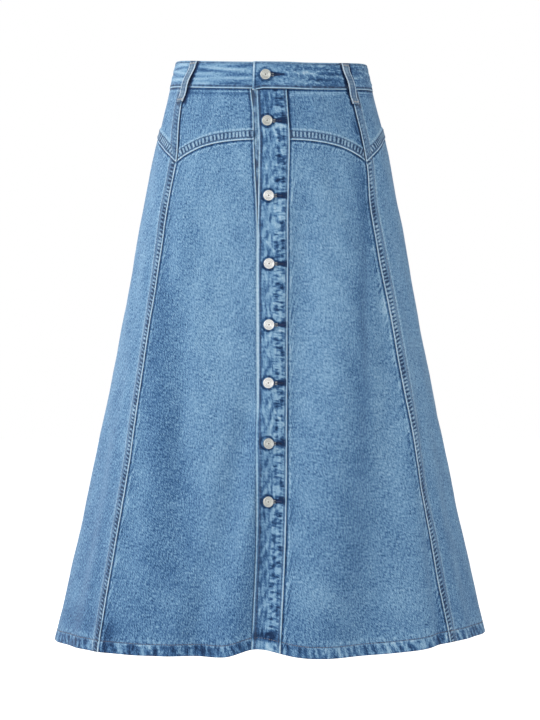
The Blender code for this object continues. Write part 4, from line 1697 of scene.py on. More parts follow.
def lay_grid(lines: tuple[Line, Line, Line, Line], columns: Array, rows: Array) -> tuple[Array, Array]:
    """Angles and heights of a grid between four lines on the body surface.

    Args:
        lines: start, end, top and foot line.
        columns: stations across, as made by spread.
        rows: stations down.

    Returns:
        Angles and heights.
    """
    start_line, end_line, top_line, foot_line = lines

    def angles_at(z: Array) -> Array:
        """Angles of the columns at some heights."""
        start, end = start_line(z), end_line(z)
        return place(columns.T, start, end, 1.0 / FORM.degree(start, z), 1.0 / FORM.degree(end, z))

    ends = []
    for line in (top_line, foot_line):
        z = np.full(len(columns), FORM.yoke_point)
        for _ in range(12):
            z = line(angles_at(z))
        ends.append((z, FORM.steepness(line, angles_at(z))))
    (top, top_scale), (foot, foot_scale) = ends
    height = place(rows.T[:, :, None], top, foot, -top_scale, -foot_scale)
    return angles_at(height), height


STATIONS = {        # distances of the grid's lines from each kind of edge
    Edge.LAPS: (0.0, 0.35, 1.0, 2.4, 5.0, 8.5, 11.4, 12.6, 14.2, 16.5),
    Edge.TUCKS: (-4.0, -2.0, -0.4, 1.0, 2.4, 4.0, 7.0),
    Edge.HEM: (0.0, 0.3, 0.9, 1.8, 4.0, 7.0, 10.0, 13.3, 15.3, 17.0, 18.2, 21.0),
    Edge.FOLDED: (0.0, 0.35, 1.0, 2.2, 3.7, 5.2),
}
STATIONS = {edge: tuple(MM * station for station in row) for edge, row in STATIONS.items()}


@dataclass
class Panel:
    """A panel or yoke between four lines on the body surface."""

    node: str
    start: Line
    end: Line
    top: Line
    foot: Line
    start_edge: Edge
    end_edge: Edge
    foot_edge: Edge
    own: float                      # makes its puckers its own
    step: float = 5.5 * MM          # distance between columns away from the seams
    row_step: float = 4.5 * MM

    @property
    def is_yoke(self) -> bool:
        """Whether it laps over a panel at its foot."""
        return self.foot_edge is Edge.LAPS

    def read_edges(self, angle: Array, z: Array) -> tuple[EdgeReading, ...]:
        """Distances of points from the four edges, and lengths along them.

        Args:
            angle: angles in degrees.
            z: heights.

        Returns:
            The readings of the start, end, top and foot edge.
        """
        per_degree = FORM.degree(angle, z)
        down = -z * DRAPE
        reach = np.linspace(-5.0, 365.0, 741)
        if np.min(angle) < reach[0]:
            reach = reach - 180.0
        path = FORM.point(reach, self.foot(reach))
        length = np.concatenate([[0.0], np.cumsum(np.linalg.norm(np.diff(path, axis=0), axis=-1))])
        around = np.interp(angle, reach, length)
        below = (self.top(angle) - z) / FORM.steepness(self.top, angle)
        above = (z - self.foot(angle)) / FORM.steepness(self.foot, angle)
        along_foot = around + np.clip(above, 0.0, 0.03) * FORM.slope(self.foot, angle)
        return (EdgeReading((angle - self.start(z)) * per_degree, down, self.own, self.start_edge),
                EdgeReading((self.end(z) - angle) * per_degree, down, self.own + 0.9, self.end_edge),
                EdgeReading(below, around, self.own + 1.7, Edge.TUCKS),
                EdgeReading(above, along_foot, self.own + 2.3, self.foot_edge))

    def cloth(self, angle: Array, z: Array) -> ClothField:
        """The panel's field at some points.

        Args:
            angle: angles in degrees.
            z: heights.

        Returns:
            The field there.
        """
        start, end, top, foot = self.read_edges(angle, z)
        made = ClothField(angle.shape, SEWING.ply)
        made.lap[..., 1] = (start.along + self.own) / MM
        if self.is_yoke:
            sides = np.ones(angle.shape)
            for edge in (start, end):
                if edge.kind is Edge.TUCKS:
                    sides *= rise(edge.distance, -0.5, 4.0)
            made.add_lap(foot, sides, 1.0)
        under_top = rise(top.distance, -1.0, 6.0)
        for edge in (start, end):
            if edge.kind is Edge.LAPS:
                made.add_lap(edge, under_top, -1.0 if self.is_yoke else 0.0)
            elif edge.kind is Edge.TUCKS:
                # Painted shade and less faded cloth in the ditch under a neighbour's edge.
                made.add_tuck(edge, 0.8 if self.is_yoke else 0.15)
            else:
                made.add_fold(edge)
        # Painted shade and less faded cloth in the ditch under the piece above.
        made.add_tuck(top, 0.30)
        if not self.is_yoke:
            made.add_hem(foot)
        relief = soft_relief(angle, z, FORM.degree(angle, z))
        made.outer += relief
        made.inner += relief
        made.wear += wash_and_shade(angle, z)
        for edge in (start, end, foot, top):
            made.close(edge)
        return made

    def stations(self, first: Edge, last: Edge, length: float, step: float) -> Array:
        """Stations between two edges, about a step apart away from them."""
        start, end = STATIONS[first], STATIONS[last]
        return spread(start, end, max(6, round(float(length - start[-1] - end[-1]) / step)))

    def grid(self) -> tuple[Array, Array]:
        """The panel's grid.

        Returns:
            Angles and heights.
        """
        level = FORM.yoke_point if self.is_yoke else float(self.foot(0.0))
        start, end = self.start(level), self.end(level)
        centre = (start + end) / 2
        width = (end - start) * FORM.degree(centre, level)
        drop = self.top(centre) - self.foot(centre)
        return lay_grid((self.start, self.end, self.top, self.foot),
                        self.stations(self.start_edge, self.end_edge, width, self.step),
                        self.stations(Edge.TUCKS, self.foot_edge, drop, self.row_step))

    def build(self, material: bpy.types.Material, rests_on: str) -> None:
        """Make the panel's shell.

        Args:
            material: its denim.
            rests_on: the piece that it hangs from.
        """
        angle, z = self.grid()
        made = self.cloth(angle, z)
        across = row_lengths(FORM.off(angle, z, made.outer)) + self.own
        made.cut = np.stack([across, z * DRAPE], axis=-1)
        make_shell(self.node, angle, z, made, material, (rests_on,))

    def row(self, angle: Array, z: Array) -> StitchRow:
        """A row of stitches along some places on the outer face."""
        return running(FORM.off(angle, z, self.cloth(angle, z).outer + SEWING.thread_lift))

    def upright_row(self, line: Line, shift: float) -> StitchRow:
        """A row beside one of the upright edges.

        Args:
            line: the edge's angle by height.
            shift: metres from it towards +angle.

        Returns:
            The row.
        """
        def at(z: Array) -> Array:
            """Angle of the row at some heights."""
            return line(z) + shift / FORM.degree(line(z), z)
        top, foot = -0.03, -0.4
        for _ in range(10):
            top, foot = self.top(at(top)), self.foot(at(foot))
        z = np.arange(float(top) - 1.0 * MM, float(foot) + 1.2 * MM, -2.0 * MM)
        return self.row(at(z), z)

    def level_row(self, shift: float) -> StitchRow:
        """A row along the lower edge.

        Args:
            shift: metres up from it.

        Returns:
            The row.
        """
        level = -0.12 if self.is_yoke else self.foot(self.start(-0.12))
        angle = np.linspace(float(self.start(level)), float(self.end(level)), 160)
        z = self.foot(angle) + shift * FORM.steepness(self.foot, angle)
        room = (angle > self.start(z) + 0.35) & (angle < self.end(z) - 0.35)
        return self.row(angle[room], z[room])


# --- Stitching --------------------------------------------------------------------------------
def make_stitch_tree() -> bpy.types.NodeTree:
    """The Geometry Nodes tree that lays stitches along rows.

    Returns:
        The tree: it takes rows of edges with the attribute "lay", and gives plain stitches.
    """
    make, given = NodeMaker.for_group(
        "lay_stitches", "Geometry",
        {"Rows": "Geometry", "Pitch": 3.3 * MM, "Length": 2.7 * MM, "Radius": 0.33 * MM,
         "Unevenness": 0.1, "Seed": 5, "Thread": "Material"},
        {"Stitches": "Geometry"})
    curve = make.add("GeometryNodeMeshToCurve", {"Mesh": given["Rows"]}).outputs[0]
    spaced = make.add("GeometryNodeResampleCurve", {"Curve": curve, "Length": given["Pitch"]},
                      mode="LENGTH").outputs[0]
    lay = make.add("GeometryNodeInputNamedAttribute", {"Name": "lay"}, data_type="FLOAT_VECTOR")
    jitter = make.add("FunctionNodeRandomValue", {"Seed": given["Seed"], "Min": (-1.0, -1.0, -1.0),
                                                  "Max": (1.0, 1.0, 1.0)}, data_type="FLOAT_VECTOR")
    shake = make.add("ShaderNodeVectorMath", {0: jitter.outputs[0], "Scale": given["Unevenness"]},
                     operation="SCALE")
    heading = make.add("ShaderNodeVectorMath", {0: lay.outputs[0], 1: shake.outputs[0]})
    turned = make.add("FunctionNodeAlignRotationToVector", {"Vector": heading.outputs[0]}, axis="Z")
    stitch = make.add("GeometryNodeMeshUVSphere", {"Segments": 6, "Rings": 4, "Radius": 1.0})
    size = make.add("ShaderNodeCombineXYZ", {0: given["Radius"], 1: given["Radius"],
                                             2: make.times(given["Length"], 0.5)})
    placed = make.add("GeometryNodeInstanceOnPoints",
                      {"Points": spaced, "Instance": stitch.outputs[0],
                       "Rotation": turned.outputs[0], "Scale": size.outputs[0]})
    real = make.add("GeometryNodeRealizeInstances", {0: placed.outputs[0]}).outputs[0]
    smooth = make.add("GeometryNodeSetShadeSmooth", {0: real}).outputs[0]
    finished = make.add("GeometryNodeSetMaterial", {"Geometry": smooth, "Material": given["Thread"]})
    make.add("NodeGroupOutput", {0: finished.outputs[0]})
    return make.tree


@dataclass
class Stitching:
    """Rows of one thread, laid by one Geometry Nodes modifier."""

    name: str
    thread: bpy.types.Material
    rows: list[StitchRow]
    pitch: float = SEWING.stitch_pitch
    length: float = SEWING.stitch_length
    radius: float = SEWING.thread_radius
    unevenness: float = 0.10
    seed: int = 5

    def build(self, tree: bpy.types.NodeTree) -> None:
        """Lay the stitches and turn them into one plain mesh.

        Args:
            tree: the tree that lays them.
        """
        edges, first = [], 0
        for row in self.rows:
            count = len(row.points)
            edges += [(k, k + 1) for k in range(first, first + count - 1)]
            first += count
        mesh = bpy.data.meshes.new(self.name + "_rows")
        mesh.from_pydata(np.concatenate([row.points for row in self.rows]), edges, [])
        carry(mesh, "lay", np.concatenate([row.lay for row in self.rows]))
        guide = put(self.name + "_rows", mesh)
        modifier = guide.modifiers.new("stitches", "NODES")
        modifier.node_group = tree
        sizes = {"Pitch": self.pitch, "Length": self.length, "Radius": self.radius,
                 "Unevenness": self.unevenness, "Seed": self.seed, "Thread": self.thread}
        for item in tree.interface.items_tree:
            if item.name in sizes:
                modifier[item.identifier] = sizes[item.name]
        result = applied(guide)
        result.name = self.name
        bpy.data.objects.remove(guide, do_unlink=True)
        settle(link(self.name, result, self.thread))


# --- The skirt's sub-assemblies ---------------------------------------------------------------
@dataclass
class SkirtPanels:
    """Yokes, front, side and back panels."""

    yoke_step: float = 3.6 * MM     # between a yoke's columns and between its rows
    yoke_row_step: float = 3.2 * MM
    panels: list[Panel] = field(default_factory=list)

    def __post_init__(self) -> None:
        """Lay out every panel between its lines."""
        point = FORM.yoke_point
        left, right = FORM.left_seam(point), -FORM.right_seam(point)
        back = FORM.back_left_seam(point)
        laps, tucks, folded = Edge.LAPS, Edge.TUCKS, Edge.FOLDED
        side = FORM.side_yoke
        layout = (      # name, yoke seam, the two upright lines and the edges there
            ("front_{}_right", FORM.arch(FORM.front_yoke, 0.0, right),
             FORM.right_seam, FORM.placket_right, tucks, folded),
            ("front_{}_left", FORM.arch(FORM.front_yoke, 0.0, left),
             FORM.placket_left, FORM.left_seam, tucks, tucks),
            ("side_{}_left", FORM.arch(side, (left + back) / 2, (back - left) / 2),
             FORM.left_seam, FORM.back_left_seam, laps, laps),
            ("side_{}_right", FORM.arch(side, -(right + back) / 2, (back - right) / 2),
             FORM.right_side_start, FORM.right_seam, laps, laps),
            ("back_{}", FORM.arch(FORM.back_yoke, 180.0, 180.0 - back),
             FORM.back_left_seam, FORM.back_right_seam, tucks, tucks),
        )
        for number, (pattern, seam, start, end, *edges) in enumerate(layout):
            self.panels.append(Panel(pattern.format("yoke"), start, end, FORM.waist_seam, seam, *edges,
                                     Edge.LAPS, 0.31 * number, self.yoke_step, self.yoke_row_step))
            self.panels.append(Panel(pattern.format("panel"), start, end, seam, FORM.hem, *edges,
                                     Edge.HEM, 0.31 * number + 4.0))

    def build(self, wardrobe: Wardrobe) -> None:
        """Make the shells of the yokes and panels, each passed the piece above it, which is not used.

        Args:
            wardrobe: the materials.
        """
        for panel in self.panels:
            above = "waistband" if panel.is_yoke else panel.node.replace("panel", "yoke")
            panel.build(wardrobe.panel, above)

    def stitch_rows(self) -> dict[Thread, list[StitchRow]]:
        """Rows along the yoke seams, the long seams, the front's fold and the hem.

        Returns:
            The rows of each thread.
        """
        rows = {thread: [] for thread in Thread}
        for panel in self.panels:
            sides = ((panel.start, panel.start_edge, 1.0), (panel.end, panel.end_edge, -1.0))
            for line, kind, way in sides:
                if kind in (Edge.LAPS, Edge.FOLDED):
                    rows[Thread.STRONG].append(panel.upright_row(line, way * SEWING.first_row))
                if kind is Edge.LAPS:
                    rows[Thread.FADED].append(panel.upright_row(line, way * SEWING.second_row))
            if panel.is_yoke:
                rows[Thread.STRONG].append(panel.level_row(SEWING.first_row + 0.3 * MM))
                rows[Thread.STRONG].append(panel.level_row(SEWING.second_row))
            else:
                rows[Thread.HEM].append(panel.level_row(SEWING.hem_row))
        return rows


@dataclass
class Placket:
    """The upper strip with its buttonholes and the lower strip that the buttons stand on."""

    level_share: float = 0.72
    row_step: float = 1.7 * MM
    free_row: float = 3.0 * MM      # this far down, then further from the edge by free_shift
    free_shift: float = 1.2 * MM
    seam_row: float = 3.4 * MM
    under_inset: float = 3.4 * MM
    patch_column: float = 7.7 * MM  # from the seam to the first column of dark patches
    patch_pitch: tuple[float, float] = (7.2 * MM, 11.4 * MM)
    groove: float = 0.40 * MM       # how deep a stitch row sits

    def grid(self, start: Line, end: Line, columns: Array) -> tuple[Array, Array]:
        """Grid of a strip, from under the waistband to the hem.

        Args:
            start: the line of its first edge.
            end: the line of its other edge.
            columns: stations across.

        Returns:
            Angles and heights.
        """
        rows = spread((-4.0 * MM, -2.0 * MM, 0.0), STATIONS[Edge.HEM], round(0.74 / self.row_step))
        return lay_grid((start, end, FORM.waist_seam, FORM.hem), columns, rows)

    def holes_reading(self, x: Array, z: Array) -> tuple[Array, Array, Array]:
        """How near points are to a buttonhole.

        Args:
            x: distances across the front.
            z: heights.

        Returns:
            Closeness to a slit, the dark wedge from it to the seam with the button's painted shadow
            ring, and the pale patch below it.
        """
        near, wedge, below = (np.zeros(x.shape) for _ in range(3))
        end = KEYHOLE.slit_length
        for button in BUTTONS[1:]:
            right, up = x - button.x, z - button.z
            inside = rise(right, 2, 6) * (1 - ramp(right, end, end + 5 * MM))
            near += inside * bump(up, 0.0, 1.6 * MM)
            reach = 1.9 * MM + 0.19 * np.clip(right - 8 * MM, 0.0, 0.03)
            # Painted shade: the wedge beside the button and the shadow ring round it.
            beside, ring = button_shade_marks(right, up, reach)
            wedge += beside
            wedge += 0.75 * ring
            below += rise(right, 6, 9) * bump(up, -8.0 * MM, 2.6 * MM)
        return np.clip(near, 0.0, 1.0), np.clip(wedge, 0.0, 1.0), below

    @staticmethod
    def pulls(x: Array, z: Array) -> Array:
        """Closeness to one of the thin pale creases.

        Args:
            x: distances across the front.
            z: heights.

        Returns:
            0 to 1 at each point.
        """
        total = np.zeros(x.shape)
        for pull in PULLS:
            length = math.hypot(pull.end_x - pull.x, pull.end_z - pull.z)
            way_x, way_z = (pull.end_x - pull.x) / length, (pull.end_z - pull.z) / length
            along = (x - pull.x) * way_x + (z - pull.z) * way_z
            across = (x - pull.x) * way_z - (z - pull.z) * way_x
            inside = rise(along, -2, 2) * rise(length - along, -2, 2)
            total = np.maximum(total, inside * bump(across, 0.0, 1.3 * MM))
        return total

    def free_line(self, z: Array) -> Array:
        """How far the row beside the free edge lies from it."""
        return self.free_row + self.free_shift * ramp(-z, 0.22, 0.25)

    def over_cloth(self, angle: Array, z: Array) -> ClothField:
        """The upper strip's field.

        Args:
            angle: angles of points.
            z: their heights.

        Returns:
            The field there.
        """
        first, last = FORM.free_edge(z), FORM.placket_left(z)
        per_degree = FORM.degree(angle, z)
        lifted = 1.0 - ramp((angle - first) / (last - first), self.level_share, 1.0)
        from_free = (angle - first) * per_degree
        from_seam = (last - angle) * per_degree
        made = ClothField(angle.shape, SEWING.ply)
        made.cut = np.stack([angle * per_degree, z * DRAPE], axis=-1)
        made.inner = SEWING.ply / 2 + SEWING.clear * 0.5 + SEWING.clear * lifted
        made.outer = made.inner + SEWING.placket - 0.35 * MM * (1 - lifted)
        x = FORM.point(angle, z)[..., 0]
        near, wedge, below = self.holes_reading(x, z)
        down, row, pull = -z, self.free_line(z), self.pulls(x, z)
        blobs = patches(from_seam - self.patch_column, down, self.patch_pitch, 3.7)
        small = patches(from_free, down, (50 * MM, 6.4 * MM), 5.1)
        streaks = FINE_STREAKS(from_free, down)
        weft = WEFT_DASHES(down, from_seam)
        right_half = rise(from_seam, 3.0, 4.4) * fall(from_seam, 18.0, 21.5)
        left_half = rise(from_seam, 18.0, 21.5) * rise(from_free - row, 0.4, 2.0)

        made.outer -= 0.42 * MM * blobs * right_half
        made.outer += 0.20 * MM * MOTTLE(from_free * 2.2 + 1.3, down * 1.7) + 0.45 * MM * pull
        made.outer -= self.groove * bump(from_free, row, 0.8 * MM)
        made.outer -= self.groove * bump(from_seam, self.seam_row, 0.8 * MM)
        made.outer -= 0.5 * MM * near

        made.wear += wash_and_shade(angle, z) - 0.12 - 0.30 * bump(z, -0.050, 0.020)
        made.wear -= right_half * (0.34 * bump(z, -0.140, 0.030) + 0.30 * bump(z, -0.254, 0.011))
        made.wear += right_half * np.clip(0.04 - 0.66 * blobs + 0.50 * weft, -1.05, 0.75)
        made.wear += left_half * (0.36 * streaks - 0.16 * small + 0.06) + 0.50 * pull
        low = ramp(down, 0.44, 0.50)
        pale_end = row - 1.4 * MM - 1.3 * MM * low
        made.wear += (1.05 - 0.25 * low) * (1 - ramp(from_free, pale_end, pale_end + 0.7 * MM))
        made.wear += 1.25 * fall(from_seam, 1.0, 1.9)
        made.wear -= bump(from_free, row + 0.6 * MM, 1.3 * MM) * (0.85 + 0.35 * small - 0.30 * low)
        made.wear -= 0.36 * bump(from_seam, self.seam_row + 0.3 * MM, 0.9 * MM) * (0.8 + 0.8 * small)
        made.wear += 0.42 * below * right_half
        # Painted shade: the wedge and the button's shadow ring, and each slit's hollow drawn dark.
        made.wear -= 1.65 * wedge * rise(from_seam, 1.2, 2.6) + 0.8 * near
        rows = bump(from_free, row, 2 * MM) + bump(from_seam, self.seam_row, 2 * MM)
        made.grey += 0.35 * rows * (1 - wedge)

        edge = EdgeReading(z - FORM.hem(angle), angle * per_degree, 6.2, Edge.HEM)
        made.add_hem(edge)
        made.wear -= 0.85 * bump(edge.distance, 18.5 * MM, 5.0 * MM)
        made.wear += 0.28 * fall(edge.distance, 10, 14)
        # Painted shadow just under the waistband's lower edge.
        made.wear -= 1.1 * fall(FORM.waist_seam(angle) - z, 1.2, 3.2)
        made.close_edge(from_free, SEWING.edge_round)
        made.close_edge(from_seam, SEWING.edge_round)
        made.close(edge)
        return made

    def under_cloth(self, angle: Array, z: Array) -> ClothField:
        """The lower strip's field: it passes under the right front's folded edge.

        Args:
            angle: angles of points.
            z: their heights.

        Returns:
            The field there.
        """
        per_degree = FORM.degree(angle, z)
        from_seam = (angle - FORM.placket_right(z)) * per_degree
        from_edge = (FORM.underlap_edge(z) - angle) * per_degree
        made = ClothField(angle.shape, SEWING.ply)
        made.cut = np.stack([angle * per_degree, z * DRAPE], axis=-1)
        below = (SEWING.ply + 0.1 * MM) * fall(from_seam, 0.4, 3.4)
        made.outer -= below
        made.inner -= below + (SEWING.placket - SEWING.ply) * rise(from_seam, 3, 5)
        made.wear += wash_and_shade(angle, z) + 0.25 - 0.75 * ramp(-z, 0.112, 0.132)
        made.wear += 0.75 * PATCH_STRENGTH(from_seam * 1.5, -z * 1.3)
        made.wear += 0.30 * FINE_STREAKS(from_seam, -z)
        # Painted shadow of the right front's folded edge on the strip, down to where the edges close.
        made.wear -= 0.80 * fall(from_seam, 0.7, 1.9) * (1 - ramp(-z, 0.20, 0.26))
        made.wear -= 0.85 * (1 - ramp(-z, 0.050, 0.062))
        made.grey += 0.65
        made.close_edge(from_edge, SEWING.edge_round)
        made.close_edge(from_seam + SEWING.tuck, SEWING.edge_round)
        made.close_edge(z - FORM.hem(angle), SEWING.hem_round)
        return made

    def build(self, wardrobe: Wardrobe) -> None:
        """Make both strips and cut the buttonholes.

        Args:
            wardrobe: the materials.
        """
        edge = STATIONS[Edge.FOLDED]
        angle, z = self.grid(FORM.free_edge, FORM.placket_left, spread(edge, edge, 20))
        make_shell("placket_over", angle, z, self.over_cloth(angle, z), wardrobe.placket,
                   holes=BUTTONS[1:])
        columns = spread(STATIONS[Edge.TUCKS][:5], edge[:4], 8)
        angle, z = self.grid(FORM.placket_right, FORM.underlap_edge, columns)
        make_shell("placket_under", angle, z, self.under_cloth(angle, z), wardrobe.placket)

    def face(self, x: Array, z: Array, lift: float) -> Array:
        """Points on the upper strip's outer face, given by their distance across."""
        angle = FORM.angle_across(x, z)
        return FORM.off(angle, z, self.over_cloth(angle, z).outer + lift)

    def over_row(self, angle: Array, z: Array) -> StitchRow:
        """A row of stitches on the upper strip."""
        return running(FORM.off(angle, z, self.over_cloth(angle, z).outer + SEWING.thread_lift))

    def under_row(self, angle: Array, z: Array) -> StitchRow:
        """A row of stitches on the lower strip."""
        return running(FORM.off(angle, z, self.under_cloth(angle, z).outer + SEWING.thread_lift))

    def stitch_rows(self) -> list[StitchRow]:
        """Rows along both edges of the upper strip, and the row that shows on the lower one.

        Returns:
            The three rows.
        """
        z = np.arange(-0.024, -0.7915, -2.0 * MM)
        short = np.arange(-0.034, -0.215, -2.0 * MM)
        free, seam, under = FORM.free_edge(z), FORM.placket_left(z), FORM.placket_right(short)
        return [self.over_row(free + self.free_line(z) / FORM.degree(free, z), z),
                self.over_row(seam - self.seam_row / FORM.degree(seam, z), z),
                self.under_row(under + self.under_inset / FORM.degree(under, short), short)]

    def hem_rows(self) -> list[StitchRow]:
        """The row across the upper strip's hem.

        Returns:
            A list with the row.
        """
        low = -0.785
        angle = np.linspace(float(FORM.free_edge(low)) + 0.8, float(FORM.placket_left(low)) - 0.6, 24)
        return [self.over_row(angle, FORM.hem(angle) + SEWING.hem_row)]


@dataclass
class Waistband:
    """One folded band round the waist, whose left end laps over its right end."""

    layer: float = 1.0 * MM         # thickness of either layer
    over_end: float = -10.0
    under_end: float = 365.0
    settles: tuple[float, float] = (7.5, 22.5)      # angles where the lapping end comes down
    step: float = 0.75              # degrees between columns
    low_row: float = 3.0 * MM
    top_row: float = 2.0 * MM
    end_row: float = 3.4 * MM
    droop: float = 2.6 * MM         # the lapping end's lower corner hangs a little

    def foot(self, angle: Array) -> Array:
        """Height of the band's lower edge, with its drooping corner."""
        near_end = 1 - ramp(angle, self.over_end, self.over_end + 6.5)
        return FORM.waist_seam(angle) - self.droop * near_end

    def lift(self, angle: Array) -> Array:
        """How far the lapping end is lifted off the ring."""
        return (2 * SEWING.half_band + SEWING.clear) * (1.0 - ramp(angle, *self.settles))

    def outer_cloth(self, angle: Array, z: Array) -> tuple[Array, Array, Array]:
        """How the outer layer looks.

        Args:
            angle: angles of points.
            z: their heights.

        Returns:
            Relief, wear and greyness there.
        """
        around = angle * WAIST_DEGREE
        from_foot = z - self.foot(angle)
        from_top = FORM.waist_top(angle) - z
        from_over = (angle - self.over_end) * FORM.degree(angle, z)
        streaks = BAND_STREAKS(from_foot, around)
        creases = bump(BAND_CREASES(from_foot, around), 0.0, 0.17)
        small = PATCH_STRENGTH(around * 2.2, from_foot * 0.2)
        creased = ramp(turn(angle), -14.0, 12.0)
        middle = rise(from_foot, 4, 6) * rise(from_top, 1.5, 4)
        relief = (0.40 * MM * streaks + 0.35 * MM * (creases - 0.3) * creased) * middle
        relief -= 0.45 * MM * bump(from_foot, self.low_row, 0.9 * MM)
        relief -= 0.30 * MM * bump(from_top, self.top_row, 0.8 * MM)
        relief -= 0.35 * MM * bump(from_over, self.end_row, 0.9 * MM) * (angle < 0)

        wear = 0.10 + 0.40 * streaks * (1 - 0.45 * creased) * (0.35 + 0.65 * middle)
        wear += (0.85 * creases - 0.24) * creased * middle
        for patch in BAND_PATCHES:
            away = turn(angle - patch.angle) / patch.reach_angle
            up = (from_foot - patch.height * MM) / (patch.reach_height * MM)
            wear += patch.amount * np.exp(-away ** 2 - up ** 2)
        # Painted shadow of the belt loops, with cloth that they kept from fading.
        wear -= 1.8 * loop_shadow_and_unfaded(angle, z)
        wear += 0.90 * fall(from_foot, 0.7, 1.5)
        wear += 0.45 * bump(from_top, 0.0, 1.2 * MM)
        wear -= (1.00 + 0.5 * small) * bump(from_foot, self.low_row + 0.1 * MM, 1.2 * MM)
        wear -= (0.40 + 0.3 * small) * bump(from_top, self.top_row, 1.0 * MM)
        at_end = from_over < 0.02
        wear += 0.95 * fall(from_over, 1.6, 2.4) * at_end
        wear -= 0.65 * bump(from_over, self.end_row + 0.2 * MM, 1.1 * MM) * at_end

        x = FORM.point(angle, z)[..., 0]
        right, up = x - BUTTONS[0].x, z - BUTTONS[0].z
        reach = np.maximum(3.4 * MM - 0.11 * (right - 8 * MM), 0.8 * MM)
        # Painted shade round the top button: its wedge and its shadow ring.
        wedge, ring = button_shade_marks(right, up, reach)
        wedge = wedge * (1 - ramp(right, 0.024, 0.028))
        wear -= (1.35 * wedge + 0.85 * ring) * (np.abs(turn(angle)) < 15.0)
        wear -= 0.6 * (angle > 345.0) * (1 - ramp(350.5 - angle, 0.0, 1.2))
        grey = 0.5 * bump(from_foot, self.low_row, 2.2 * MM)
        return relief, wear, grey + 0.4 * bump(from_top, self.top_row, 2 * MM)

    def grid(self) -> tuple[Array, Array, ClothField]:
        """The path up the outer layer and down the inner one, all round.

        Returns:
            Angles, heights and field of its points.
        """
        angle = np.arange(self.over_end, self.under_end + 0.01, self.step)
        ends = [self.over_end + 0.15, self.over_end + 0.4, self.under_end - 0.15]
        angle = np.sort(np.concatenate([angle, ends]))
        height = FORM.band_height
        foot_levels = np.array([0.0, 0.35, 0.9, 1.4, 1.9, 2.5, 3.0, 3.6, 4.6, 6.2]) * MM
        even = np.linspace(7.8 * MM, height - 6.0 * MM, 16)
        top_levels = height - np.array([4.6, 3.4, 2.7, 2.0, 1.4]) * MM
        upward = np.concatenate([foot_levels, even, top_levels])
        over_fold = np.linspace(0.0, 1.0, 7)
        down = np.linspace(height - 1.4 * MM, 0.0, 9)
        level = np.concatenate([upward, np.full(len(over_fold), height - 1.0 * MM), down])
        bend = np.concatenate([np.zeros(len(upward)), over_fold, np.ones(len(down))])
        level, bend, angle = level[::-1, None], bend[::-1, None], angle[None, :]
        foot = self.foot(angle)
        z = foot + level * ((FORM.waist_top(angle) - foot) / height)
        apart = SEWING.half_band - self.layer / 2
        swing = bend * math.pi
        z = z + np.where((bend > 0) & (bend < 1), apart * np.sin(swing), 0.0)

        relief, wear, grey = self.outer_cloth(angle, z)
        outside = 1 - ramp(bend, 0.0, 0.5)
        from_ends = np.minimum(np.abs(angle - self.over_end), np.abs(self.under_end - angle))
        closing = np.clip(from_ends / 0.4, 0.25, 1.0)
        middle = apart * np.cos(swing) * closing + self.lift(angle) + relief * outside
        rounded = np.sqrt(1 - (1 - np.clip(level / (1.0 * MM), 0.0, 1.0)) ** 2)
        half = self.layer / 2 * np.maximum(rounded, 0.12)
        made = ClothField(z.shape, self.layer)
        made.outer = middle + half * np.cos(swing)
        made.inner = middle - half * np.cos(swing)
        made.up = np.broadcast_to(np.sin(swing) * half, z.shape)
        made.wear = wear * outside + 0.25 * (1 - outside)
        made.grey = grey * outside
        rows = np.linspace(0.085, 0.0, len(z))[:, None]
        made.cut = np.stack(np.broadcast_arrays(rows, angle * WAIST_DEGREE), axis=-1)
        return np.broadcast_to(angle, z.shape), z, made

    def surface(self, angle: Array, z: Array, lift: float) -> Array:
        """Points on the band's outer face."""
        relief = self.outer_cloth(angle, z)[0]
        return FORM.off(angle, z, SEWING.half_band + self.lift(angle) + relief + lift)

    def face(self, x: Array, z: Array, lift: float) -> Array:
        """Points on the lapping end's outer face, given by their distance across."""
        return self.surface(FORM.angle_across(x, z), z, lift)

    def build(self, wardrobe: Wardrobe) -> None:
        """Make the folded band and cut its buttonhole.

        Args:
            wardrobe: the materials.
        """
        make_shell("waistband", *self.grid(), wardrobe.band, (), BUTTONS[:1])

    def stitch_rows(self) -> list[StitchRow]:
        """Rows along the lower edge, the top edge and the lapping end.

        Returns:
            The three rows.
        """
        angle = np.arange(self.over_end + 1.4, self.under_end - 15.5, 0.5)
        share = np.linspace(0.08, 0.92, 20)
        end = np.full(share.shape, self.over_end + 1.2)
        up_end = self.foot(end) + (FORM.waist_top(end) - self.foot(end)) * share
        places = ((angle, self.foot(angle) + self.low_row),
                  (angle, FORM.waist_top(angle) - self.top_row), (end, up_end))
        return [running(self.surface(*place, SEWING.thread_lift)) for place in places]


